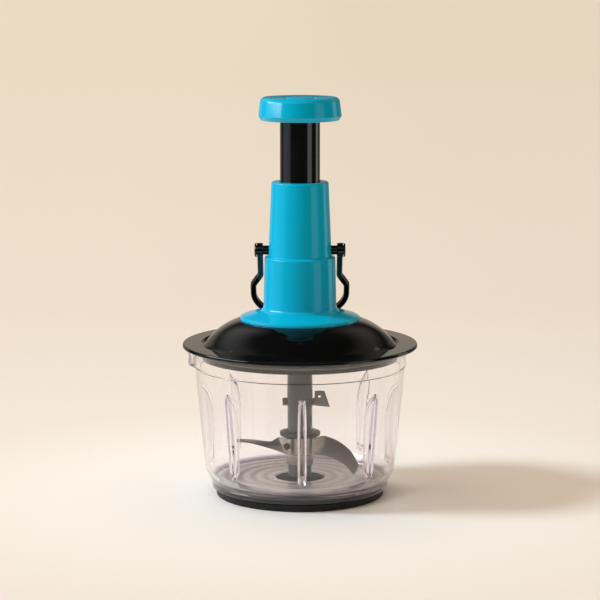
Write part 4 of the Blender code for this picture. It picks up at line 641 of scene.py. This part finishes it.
for name, node, stations in (
    ("swept_blade", "right_blade", RIGHT_BLADE),
    ("winged_blade", "left_blade", LEFT_BLADE),
):
    form = bmesh.new()
    blade_form(form, stations, GROUND)
    blade = finished(name, form, blade_steel, sharp=18)
    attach(blade, "blades")
    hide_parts(node)

SCREW_TURN = math.radians(-129)
SCREW_SEAT = (0.0147, 0, 0.0358)
SCREW_HEAD_RADIUS = 0.0023
SCREW_HEAD_HEIGHT = 0.0011
SCREW_DOMING = 0.0004
SCREW_SHANK_RADIUS = 0.0013
SCREW_SHANK_DEPTH = 0.0040
SCREW_ROUND = 64
SCREW_STEPS = 24
RECESS_HALF = 0.00036
RECESS_REACH = 0.0016
RECESS_DEPTH = 0.0006

# The screw of the root plate is nickel-plated steel in the shade of the collar; its colour is painted
# dark for that shade, with a black cross where its recess goes in. Its plating has no strokes, only a slow
# drift.
screw_steel_painted_shade = metal("root_screw_nickel_steel_painted_shade", "#37322e", "#4d4741", 0.3, (300.0, 300.0, 300.0))

form = bmesh.new()
turns = [math.tau * index / SCREW_ROUND for index in range(SCREW_ROUND)]
rings = [[form.verts.new((0, 0, -SCREW_SHANK_DEPTH))]]
for radius, height in (
    (SCREW_SHANK_RADIUS, -SCREW_SHANK_DEPTH),
    (SCREW_SHANK_RADIUS, 0),
    (SCREW_HEAD_RADIUS, 0),
):
    rings.append([form.verts.new((radius * math.cos(a), radius * math.sin(a), height)) for a in turns])
for step in range(SCREW_STEPS, 0, -1):
    radius = SCREW_HEAD_RADIUS * step / SCREW_STEPS
    ring = []
    for turn in turns:
        across, up = radius * math.cos(turn), radius * math.sin(turn)
        sunk = radius < RECESS_REACH and min(abs(across), abs(up)) < RECESS_HALF
        drop = SCREW_DOMING * (step / SCREW_STEPS) ** 2
        ring.append(form.verts.new((across, up, SCREW_HEAD_HEIGHT - drop - (RECESS_DEPTH if sunk else 0))))
    rings.append(ring)
rings.append([form.verts.new((0, 0, SCREW_HEAD_HEIGHT - RECESS_DEPTH))])
skin(form, rings, False)
facing = Matrix.Rotation(math.pi / 2, 4, "Y")
screw_place = Matrix.Rotation(SCREW_TURN, 4, "Z") @ Matrix.Translation(SCREW_SEAT) @ facing
bmesh.ops.transform(form, matrix=screw_place, verts=form.verts)
root_screw = finished("root_screw", form, screw_steel_painted_shade)
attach(root_screw, "blades")
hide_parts("blade_screw")


# Upper blade: a bar of the same sheet through the slot of the shaft, with a punched wing. It is
# left as it came from the punch, so it is duller than the brushed blades below. Its paler colour is
# partly that matte skin and partly painted light, so that it reads pale though it mirrors the dark
# lid and cloth. Its mottle is drawn 2 mm wide.
punched_steel_painted_pale = metal(
    "upper_blade_punched_steel_painted_light", "#dcd7cf", "#efebe4", 0.55, (500.0, 500.0, 500.0), depth=0.05
)
refinish(["upper_blade"], punched_steel_painted_pale)


# Lid plate and seal: a black ABS plate under the cover with a skirt that plugs the bowl, a groove
# for the silicone seal, and a sleeve that guides the shaft.

PLATE_PROFILE = (
    (0.0140, 0.1187, 0.0004),
    (0.0140, 0.0994, 0.0015),
    (0.0668, 0.0994, 0.0010),
    (0.0668, 0.1055, 0.0003),
    (0.0688, 0.1055, 0.0003),
    (0.0688, 0.1030, 0),
    (0.0680, 0.1028, 0),
    (0.0680, 0.1002, 0),
    (0.0688, 0.1000, 0),
    (0.0688, 0.0974, 0.0010),
    (0.0098, 0.0974, 0.0008),
    (0.0098, 0.1045, 0),
    (0.0110, 0.1047, 0),
    (0.0110, 0.1187, 0.0003),
)
SEAL_PROFILE = (
    (0.0688, 0.1025, 0.0001),
    (0.0706, 0.1018, 0.0003),
    (0.0703, 0.1012, 0.0002),
    (0.0688, 0.1005, 0),
    (0.0683, 0.1005, 0),
    (0.0683, 0.1025, 0),
)

# Black ABS from a polished mould: a deep warm black that mirrors the studio, with faint wiping marks.
black_abs = moulded_plastic(
    "lid_polished_black_abs", "#0a0a0b", "#131313", 0.07, grain=0.02, IOR=1.53, Specular_IOR_Level=0.38
)
# Silicone is a milky grey with a soft, dull skin.
silicone = moulded_plastic("seal_translucent_silicone", "#8d8880", "#a39e95", 0.5, IOR=1.41)

form = bmesh.new()
turned_form(form, eased(PLATE_PROFILE), around=192)
lid_floor = finished("lid_floor", form, black_abs)
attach(lid_floor, "lid")
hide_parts("lid_plate")

form = bmesh.new()
turned_form(form, eased(SEAL_PROFILE), around=192)
seal = finished("seal", form, silicone)
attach(seal, "lid")
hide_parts("lid_seal")


# Lid cover: a black ABS dome with a flat brim that covers the bowl's rim, moulded in one piece with
# four bosses inside, to which screws from below hold the plate; the bosses are not drawn here.

DOME_CENTRE = (0.0306, 0.0817)
DOME_RADIUS = 0.0443
COVER_WALL = 0.0022


def dome_arc(radius, first, last, steps):
    """Corners along the dome's arc, between two distances from the axis."""
    corners = []
    for step in range(steps + 1):
        across = first + (last - first) * step / steps
        rise = math.sqrt(radius ** 2 - (across - DOME_CENTRE[0]) ** 2)
        corners.append((across, DOME_CENTRE[1] + rise, 0))
    return corners


COVER_PROFILE = (
    (0.0300, 0.1240, 0),
    (0.0420, 0.12408, 0),
    *dome_arc(DOME_RADIUS, 0.0427, 0.0664, 24),
    (0.0682, 0.1069, 0.0003),
    (0.0694, 0.1069, 0.0002),
    (0.0697, 0.1079, 0.0003),
    (0.0821, 0.1079, 0.0010),
    (0.0825, 0.1054, 0.0007),
    (0.0809, 0.1054, 0.0002),
    (0.0805, 0.1058, 0.0002),
    (0.0648, 0.10636, 0),
    *dome_arc(DOME_RADIUS - COVER_WALL, 0.0646, 0.0411, 12),
    (0.0300, 0.1218, 0),
)

form = bmesh.new()
turned_form(form, eased(COVER_PROFILE), around=240)
cover = finished("cover", form, black_abs, sharp=40)
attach(cover, "lid")
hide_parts("lid_cover")
refinish([f"plate_screw_{number}" for number in (1, 2, 3, 4)], turned_steel)


# Tower: the cyan ABS housing of the drive. It is moulded in one piece with its flange, and screws
# from inside the lid hold it down.

TOWER_PROFILE = (
    (0.0143, 0.2210, 0.0004),
    (0.0199, 0.2210, 0.0012),
    (0.0221, 0.1691, 0.0006),
    (0.0246, 0.1685, 0.0012),
    (0.0256, 0.1312, 0.0040),
    (0.0407, 0.1269, 0.0010),
    (0.0411, 0.1263, 0.0003),
    (0.0419, 0.1263, 0.0004),
    (0.0419, 0.1243, 0.0003),
    (0.0297, 0.1243, 0),
    (0.0297, 0.1190, 0),
    (0.0270, 0.1190, 0),
    (0.0270, 0.1262, 0),
    (0.0234, 0.1300, 0),
    (0.0224, 0.1663, 0.0010),
    (0.0199, 0.1667, 0),
    (0.0172, 0.2041, 0),
    (0.0172, 0.2188, 0),
    (0.0143, 0.2188, 0),
)

# Cyan ABS, pigmented through: an even, strong blue-green with a clear gloss skin over it.
cyan_abs = moulded_plastic(
    "tower_polished_cyan_abs", "#00b4db", "#08badf", 0.13, grain=0.03, IOR=1.53, Specular_IOR_Level=0.32
)

form = bmesh.new()
turned_form(form, eased(TOWER_PROFILE, steps=8))
housing = finished("housing", form, cyan_abs)
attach(housing, "lid")
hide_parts("tower")
refinish([f"tower_screw_{number}" for number in (1, 2, 3, 4)], turned_steel)
refinish(["drive_bearing", "guide_bush"], acetal)


# Drive and return spring: a four-start steel screw inside the tube, with its grey nylon coupling,
# and the wound spring that lifts the knob again. The spring is drawn as two halves: the lower one
# stays on its seat and the upper one goes down with the tube, so that the coils close up.
refinish(["drive_screw"], turned_steel)
refinish(["drive_coupling"], shaft_nylon)
refinish(["spring_seat"], acetal)

COIL_RADIUS = 0.0095
WIRE_RADIUS = 0.00065
COIL_BOTTOM_Z = 0.18800
COIL_TOP_Z = 0.26755
COIL_TURNS = 10
COIL_STEPS = 32
WIRE_SIDES = 8
CLOSING = 0.0420
MIDDLE_GAP = 0.0010

# Drawn spring wire is a smooth cold grey. Its die lines, 0.1 mm apart, are drawn as streaks 1 mm wide.
wound_steel = metal("spring_drawn_steel_wire", "#77777a", "#a3a3a8", 0.28, (900.0, 900.0, 300.0))

pitch = (COIL_TOP_Z - COIL_BOTTOM_Z) / COIL_TURNS
lower_top = COIL_TOP_Z - CLOSING - MIDDLE_GAP
for name, body, low, high in (
    ("spring_lower", "lid", COIL_BOTTOM_Z, lower_top),
    ("spring_upper", "plunger", COIL_BOTTOM_Z + CLOSING + MIDDLE_GAP, COIL_TOP_Z),
):
    form = bmesh.new()
    rings = []
    steps = round((high - low) / pitch * COIL_STEPS)
    for step in range(steps + 1):
        height = low + (high - low) * step / steps
        turn = Matrix.Rotation(math.tau * (height - COIL_BOTTOM_Z) / pitch, 3, "Z")
        ring = []
        for side in range(WIRE_SIDES):
            around = math.tau * side / WIRE_SIDES
            out, up = WIRE_RADIUS * math.cos(around), WIRE_RADIUS * math.sin(around)
            ring.append(form.verts.new(turn @ Vector((COIL_RADIUS + out, 0, height + up))))
        rings.append(ring)
    skin(form, rings, False)
    form.faces.new(rings[0])
    form.faces.new(rings[-1])
    half_spring = finished(name, form, wound_steel)
    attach(half_spring, body)
    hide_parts("return_spring")


# Plunger tube: a black ABS tube that slides through the tower's mouth, up to where the stop ring
# on it meets the bush. It carries the drive nut, and a screw through its closed top holds the knob.

TUBE_PROFILE = (
    (0.0139, 0.2745, 0),
    (0.0139, 0.1725, 0.0004),
    (0.0119, 0.1725, 0.0004),
    (0.0119, 0.2685, 0),
    (0.0016, 0.2685, 0),
    (0.0016, 0.2745, 0),
)

# The same ABS, but more highly polished, so the tube mirrors more than the lid does.
tube_abs = moulded_plastic(
    "tube_polished_black_abs", "#0a0a0b", "#131313", 0.12, grain=0.03, IOR=1.53, Specular_IOR_Level=0.85
)

form = bmesh.new()
turned_form(form, eased(TUBE_PROFILE), around=96)
tube = finished("tube", form, tube_abs)
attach(tube, "plunger")
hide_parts("plunger_tube")
refinish(["stop_ring"], black_abs)
refinish(["drive_nut"], acetal)


# Knob: a cyan ABS palm knob, hollow below, closed by a base plate that is pressed in, and a plug in
# its dished top that hides the screw.

KNOB_PROFILE = (
    (0.0103, 0.2781, 0),
    (0.0113, 0.2781, 0.0004),
    (0.0121, 0.2789, 0.0004),
    (0.0200, 0.2792, 0.0200),
    (0.0250, 0.27942, 0.0080),
    (0.0273, 0.27946, 0.0034),
    (0.0289, 0.2666, 0.0007),
    (0.0270, 0.2635, 0.0010),
    (0.0251, 0.2635, 0.0003),
    (0.0251, 0.2659, 0),
    (0.0245, 0.2740, 0.0020),
    (0.0190, 0.2759, 0),
    (0.0166, 0.2755, 0),
    (0.0166, 0.2665, 0),
    (0.0142, 0.2665, 0),
    (0.0142, 0.2748, 0),
    (0.0016, 0.2748, 0),
    (0.0016, 0.2758, 0),
    (0.0103, 0.2758, 0),
)
KNOB_BASE_PROFILE = (
    (0.0248, 0.2655, 0),
    (0.0248, 0.2637, 0.0003),
    (0.0142, 0.2637, 0),
    (0.0142, 0.2655, 0),
)
PLUG_PROFILE = (
    (0, 0.2792, 0),
    (0.0100, 0.2792, 0.0007),
    (0.0100, 0.2770, 0),
    (0.0039, 0.2770, 0),
    (0.0039, 0.2779, 0),
    (0, 0.2779, 0),
)

for name, node, profile, is_ring in (
    ("palm_knob", "knob", KNOB_PROFILE, True),
    ("palm_knob_base", "knob_base", KNOB_BASE_PROFILE, True),
    ("palm_knob_plug", "knob_plug", PLUG_PROFILE, False),
):
    form = bmesh.new()
    turned_form(form, eased(profile, steps=8, closed=is_ring), closed=is_ring)
    made = finished(name, form, cyan_abs)
    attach(made, "plunger")
    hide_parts(node)
refinish(["knob_screw"], turned_steel)


# Bail: a black ABS strap handle with an eye at each end. It hangs behind the tower on two headed
# pins, and swings up and over the pressed knob to lock it.

PIVOT_Z = 0.1730
ARM_X = 0.02785
WIDE_X = 0.0333
BAIL_LENGTH = 0.08652
EYE_GAP = 0.0041
BENDS = (0.0305, 0.0430)
BEND_EASE = 0.010
HALF_WIDTH = 0.0021
HALF_DEPTH = 0.0021
STRAP_EASE = 0.0012
LEAN = math.radians(48.15)
BOW_STEPS = 24
EYE_PROFILE = (
    (0.0050, 0.00215, 0.0002),
    (0.0050, -0.00215, 0.0011),
    (0.0035, -0.00215, 0.0002),
    (0.0035, 0.00215, 0.0002),
)
HEAD_PROFILE = (
    (0, 0.0017, 0),
    (0.0050, 0.0017, 0.0013),
    (0.0050, 0.0003, 0.0001),
    (0.0032, 0.0003, 0),
    (0.0032, -0.0090, 0),
    (0, -0.0090, 0),
)
EYE_OUTER_X = 0.0300

half_line = [(ARM_X, -EYE_GAP, 0), (ARM_X, -BENDS[0], BEND_EASE), (WIDE_X, -BENDS[1], BEND_EASE)]
for step in range(BOW_STEPS + 1):
    turn = math.pi / 2 * step / BOW_STEPS
    half_line.append((WIDE_X * math.cos(turn), WIDE_X * (1 - math.sin(turn)) - BAIL_LENGTH, 0))
other_half = [(-x, z, ease) for x, z, ease in reversed(half_line[:-1])]
strap_line = eased(half_line + other_half, steps=9, closed=False)
section = eased(
    [
        (HALF_WIDTH, HALF_DEPTH, STRAP_EASE),
        (HALF_WIDTH, -HALF_DEPTH, STRAP_EASE),
        (-HALF_WIDTH, -HALF_DEPTH, STRAP_EASE),
        (-HALF_WIDTH, HALF_DEPTH, STRAP_EASE),
    ]
)
form = bmesh.new()
rings = []
for index, spot in enumerate(strap_line):
    before = strap_line[max(index - 1, 0)]
    after = strap_line[min(index + 1, len(strap_line) - 1)]
    along = (after - before).normalized()
    side = Vector((-along.y, along.x))
    rings.append([form.verts.new((spot.x + side.x * w, d, spot.y + side.y * w)) for w, d in section])
skin(form, rings, False)
form.faces.new(rings[0])
form.faces.new(rings[-1])
for side in (-1, 1):
    eye = bmesh.new()
    turned_form(eye, eased(EYE_PROFILE), around=64)
    place = Matrix.Translation((side * ARM_X, 0, 0)) @ Matrix.Rotation(side * math.pi / 2, 4, "Y")
    bmesh.ops.transform(eye, matrix=place, verts=eye.verts)
    scrap = bpy.data.meshes.new("bail_eye_form")
    eye.to_mesh(scrap)
    eye.free()
    form.from_mesh(scrap)
    bpy.data.meshes.remove(scrap)
hang = Matrix.Translation((0, 0, PIVOT_Z)) @ Matrix.Rotation(LEAN, 4, "X")
bmesh.ops.transform(form, matrix=hang, verts=form.verts)
strap = finished("strap_bail", form, black_abs)
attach(strap, "bail_handle")
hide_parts("bail")

for side, name, node in ((1, "pin_right", "bail_pin_right"), (-1, "pin_left", "bail_pin_left")):
    form = bmesh.new()
    turned_form(form, eased(HEAD_PROFILE, closed=False), around=64, closed=False)
    facing = Matrix.Rotation(side * math.pi / 2, 4, "Y")
    place = Matrix.Translation((side * EYE_OUTER_X, 0, PIVOT_Z)) @ facing
    bmesh.ops.transform(form, matrix=place, verts=form.verts)
    pin = finished(name, form, black_abs)
    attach(pin, "lid")
    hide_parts(node)


# Studio: a cream paper floor that runs on past the view, a soft key lamp low on the left, a pale
# room round it, and the camera of the photograph.

CAMERA_Y = -1.530
CAMERA_Z = 0.37372
AIM_Z = 0.13772
FOCAL_PIXELS = 2211.6
FRAME_PIXELS = 600
SENSOR_WIDTH = 36
PAPER_REACH = 6.0
PAINTED_FLOOR_LIGHT = (
    (0.0, "#f9f5f1"),
    (0.025, "#f8f1ec"),
    (0.05, "#eee4dd"),
    (0.15, "#e5d9cd"),
    (0.48, "#e3d6c7"),
    (1.0, "#e2d4c3"),
)
PAINTED_FALL_OFF = {"From Min": -0.3, "From Max": 0.3, "To Min": 1.0, "To Max": 0.955}

# Paper is matte, with a fibre grain of 0.2 mm that is drawn at 1.4 mm. A pool of light is painted into
# its colour: palest round the object and darker outwards, with a painted fall-off a little towards its
# right, away from the lamp.
floor_paper, tree, shader = new_finish("floor_cream_paper", Roughness=0.85, Specular_IOR_Level=0.2)
spots = add_node(tree, "TexCoord").outputs["Object"]
# Painted light: the paper's colour is palest round the object and darkens outwards.
from_middle = add_node(tree, "VectorMath", {0: spots}, operation="LENGTH")
far = add_node(tree, "MapRange", {"Value": from_middle, "From Max": PAPER_REACH})
shading = add_node(tree, "ValToRGB", {"Fac": far})
stops = shading.color_ramp.elements
while len(stops) < len(PAINTED_FLOOR_LIGHT):
    stops.new(0.5)
for stop, (place, shade) in zip(stops, PAINTED_FLOOR_LIGHT):
    stop.position = place
    stop.color = linear(shade)
# Painted fall-off: the paper darkens a little towards the right, away from the lamp.
across = add_node(tree, "SeparateXYZ", {"Vector": spots}).outputs["X"]
dimmer = add_node(tree, "MapRange", {"Value": across, **PAINTED_FALL_OFF})
painted_paper_light = add_node(tree, "VectorMath", {0: shading, "Scale": dimmer}, operation="SCALE")
fibre = add_node(tree, "TexNoise", {"Vector": spots, "Scale": 700.0, "Detail": 4.0})
relief = add_node(tree, "Bump", {"Height": fibre, "Strength": 0.1, "Distance": 0.0001})
feed(shader, {"Base Color": painted_paper_light, "Normal": relief})

form = bmesh.new()
bmesh.ops.create_circle(form, cap_ends=True, radius=60, segments=64)
floor = finished("paper_floor", form, floor_paper)

# The room is even and cream where it is seen. What it sheds comes mostly from above and behind on
# the left, cool near the horizon and warm higher up.
FILL_WAY = (-0.45, 0.45, 0.75)
FILL_LEVEL = 0.37
ROOM_WASH = {6: (0.70, 0.95, 1.40, 1), 7: (1.0, 0.82, 0.60, 1)}
ROOM_CREAM = linear("#e8d6c0")

world = bpy.data.worlds.new("pale_room")
world.use_nodes = True
bpy.context.scene.world = world
tree = world.node_tree
path = add_node(tree, "LightPath").outputs
eye_or_shine = {0: path["Is Camera Ray"], 1: path["Is Glossy Ray"]}
seen_or_shiny = add_node(tree, "Math", eye_or_shine, operation="MAXIMUM")
shown = add_node(tree, "Math", {0: seen_or_shiny, 1: path["Is Transmission Ray"]}, operation="MAXIMUM")
way = add_node(tree, "TexCoord").outputs["Generated"]
lean = add_node(tree, "VectorMath", {0: way, 1: FILL_WAY}, operation="DOT_PRODUCT")
fill = add_node(tree, "Math", {0: lean, 1: FILL_LEVEL}, operation="ADD", use_clamp=True)
pale = add_node(tree, "Mix", {"Factor": shown, 2: fill, 3: 1.0}, data_type="FLOAT")
height = add_node(tree, "SeparateXYZ", {"Vector": way}).outputs["Z"]
above = add_node(tree, "MapRange", {"Value": height, "From Min": 0.1, "From Max": 0.5})
wash = add_node(tree, "Mix", {"Factor": above, **ROOM_WASH}, data_type="RGBA")
hue = add_node(tree, "Mix", {"Factor": shown, 6: wash, 7: ROOM_CREAM}, data_type="RGBA")
feed(tree.nodes["Background"], {"Color": hue, "Strength": pale})

KEY_ELEVATION = math.radians(36)
KEY_AZIMUTH = math.radians(6)

key = bpy.data.lights.new("key_softbox", "SUN")
key.energy = 2.5
key.color = (0.72, 0.89, 1.0)
key.angle = math.radians(14)
key_stand = bpy.data.objects.new("key_softbox", key)
bpy.context.scene.collection.objects.link(key_stand)
flat = math.cos(KEY_ELEVATION)
towards = Vector((-flat * math.cos(KEY_AZIMUTH), -flat * math.sin(KEY_AZIMUTH), math.sin(KEY_ELEVATION)))
key_stand.rotation_euler = towards.to_track_quat("Z", "Y").to_euler()

# What polished surfaces mirror: softboxes and cards among black cloth, on the inside of a dome.
# Each is (azimuth from, to, elevation from, to, softness, level, tint). Azimuth runs from the front
# to the right, in degrees. Rays that have gone through the clear bowl see mostly the pale room.
PANELS = (
    (-200, -132, -30, 14, 6, 0.34, (1.0, 0.86, 0.70)),
    (125, 200, -30, 11, 6, 0.20, (1.0, 0.86, 0.70)),
    (-112, -58, -30, 24, 8, 0.36, (0.88, 0.96, 1.10)),
    (-160, -42, 24, 48, 10, 0.42, (1.0, 0.96, 0.93)),
    (42, 160, 24, 46, 10, 0.26, (1.0, 0.88, 0.76)),
    (-50, 50, 34, 52, 8, 0.80, (0.95, 0.98, 1.0)),
    (-106, -54, 19, 32, 3, 13.0, (1.0, 0.97, 0.94)),
    (44, 70, -30, 24, 5, 0.80, (1.0, 1.0, 1.02)),
    (104, 122, -30, 28, 3, 1.05, (1.0, 0.98, 0.92)),
)
SURROUND_RADIUS = 0.7
SURROUND_Z = 0.14
CLOTH_LEVEL = 0.015
LOWEST_LIFT = -11
DOME_STEP = 2
LAPS = (-360, 0, 360)


def soft_step(value, edge, softness):
    """0 below an edge, 1 above it, and smooth between."""
    share = min(1.0, max(0.0, (value - edge) / (2 * softness) + 0.5))
    return share * share * (3 - 2 * share)


surround_light = bpy.data.materials.new("surround_softboxes_and_cloth")
surround_light.use_nodes = True
tree = surround_light.node_tree
tree.nodes.remove(tree.nodes["Principled BSDF"])
painted = add_node(tree, "Attribute", attribute_name="level")
path = add_node(tree, "LightPath").outputs
inside_bowl = add_node(tree, "Math", {0: path["Transmission Depth"], 1: 0.5}, operation="GREATER_THAN")
turned_back = add_node(tree, "MapRange", {"Value": path["Glossy Depth"], "To Min": 1.0, "To Max": 0.4})
pale_share = add_node(tree, "Math", {0: inside_bowl, 1: turned_back}, operation="MULTIPLY")
levels = {6: painted, 7: linear("#e9d9c6")}
shown_level = add_node(tree, "Mix", {"Factor": pale_share, **levels}, data_type="RGBA")
glow = add_node(tree, "Emission", {"Color": shown_level})
feed(tree.nodes["Material Output"], {"Surface": glow})
surround_light.cycles.emission_sampling = "NONE"

form = bmesh.new()
level = form.verts.layers.float_color.new("level")
rings = []
for lift in range(LOWEST_LIFT, 90, DOME_STEP):
    row = []
    for turn in range(-180, 180, DOME_STEP):
        elevation, azimuth = math.radians(lift), math.radians(turn)
        flat = SURROUND_RADIUS * math.cos(elevation)
        up = SURROUND_Z + SURROUND_RADIUS * math.sin(elevation)
        vert = form.verts.new((flat * math.sin(azimuth), -flat * math.cos(azimuth), up))
        seen_level = Vector((CLOTH_LEVEL, CLOTH_LEVEL, CLOTH_LEVEL))
        for left, right, low, high, soft, strength, tint in PANELS:
            sides = [soft_step(turn + lap, left, soft) * soft_step(-turn - lap, -right, soft) for lap in LAPS]
            amount = max(sides) * soft_step(lift, low, soft) * soft_step(-lift, -high, soft)
            seen_level += Vector(tint) * strength * amount
        vert[level] = (*seen_level, 1.0)
        row.append(vert)
    rings.append(row)
skin(form, rings, False)
surround = finished("softboxes_and_cloth", form, surround_light)
surround.modifiers.clear()
surround.visible_camera = False
surround.visible_diffuse = False
surround.visible_shadow = False
key_stand.visible_glossy = False

lens = bpy.data.cameras.new("photo_camera")
lens.sensor_width = SENSOR_WIDTH
lens.lens = SENSOR_WIDTH * FOCAL_PIXELS / FRAME_PIXELS
camera = bpy.data.objects.new("photo_camera", lens)
bpy.context.scene.collection.objects.link(camera)
camera.location = (0, CAMERA_Y, CAMERA_Z)
camera.rotation_euler = (math.pi / 2 - math.atan2(CAMERA_Z - AIM_Z, -CAMERA_Y), 0, 0)
bpy.context.scene.camera = camera
bpy.context.scene.view_settings.view_transform = "Standard"
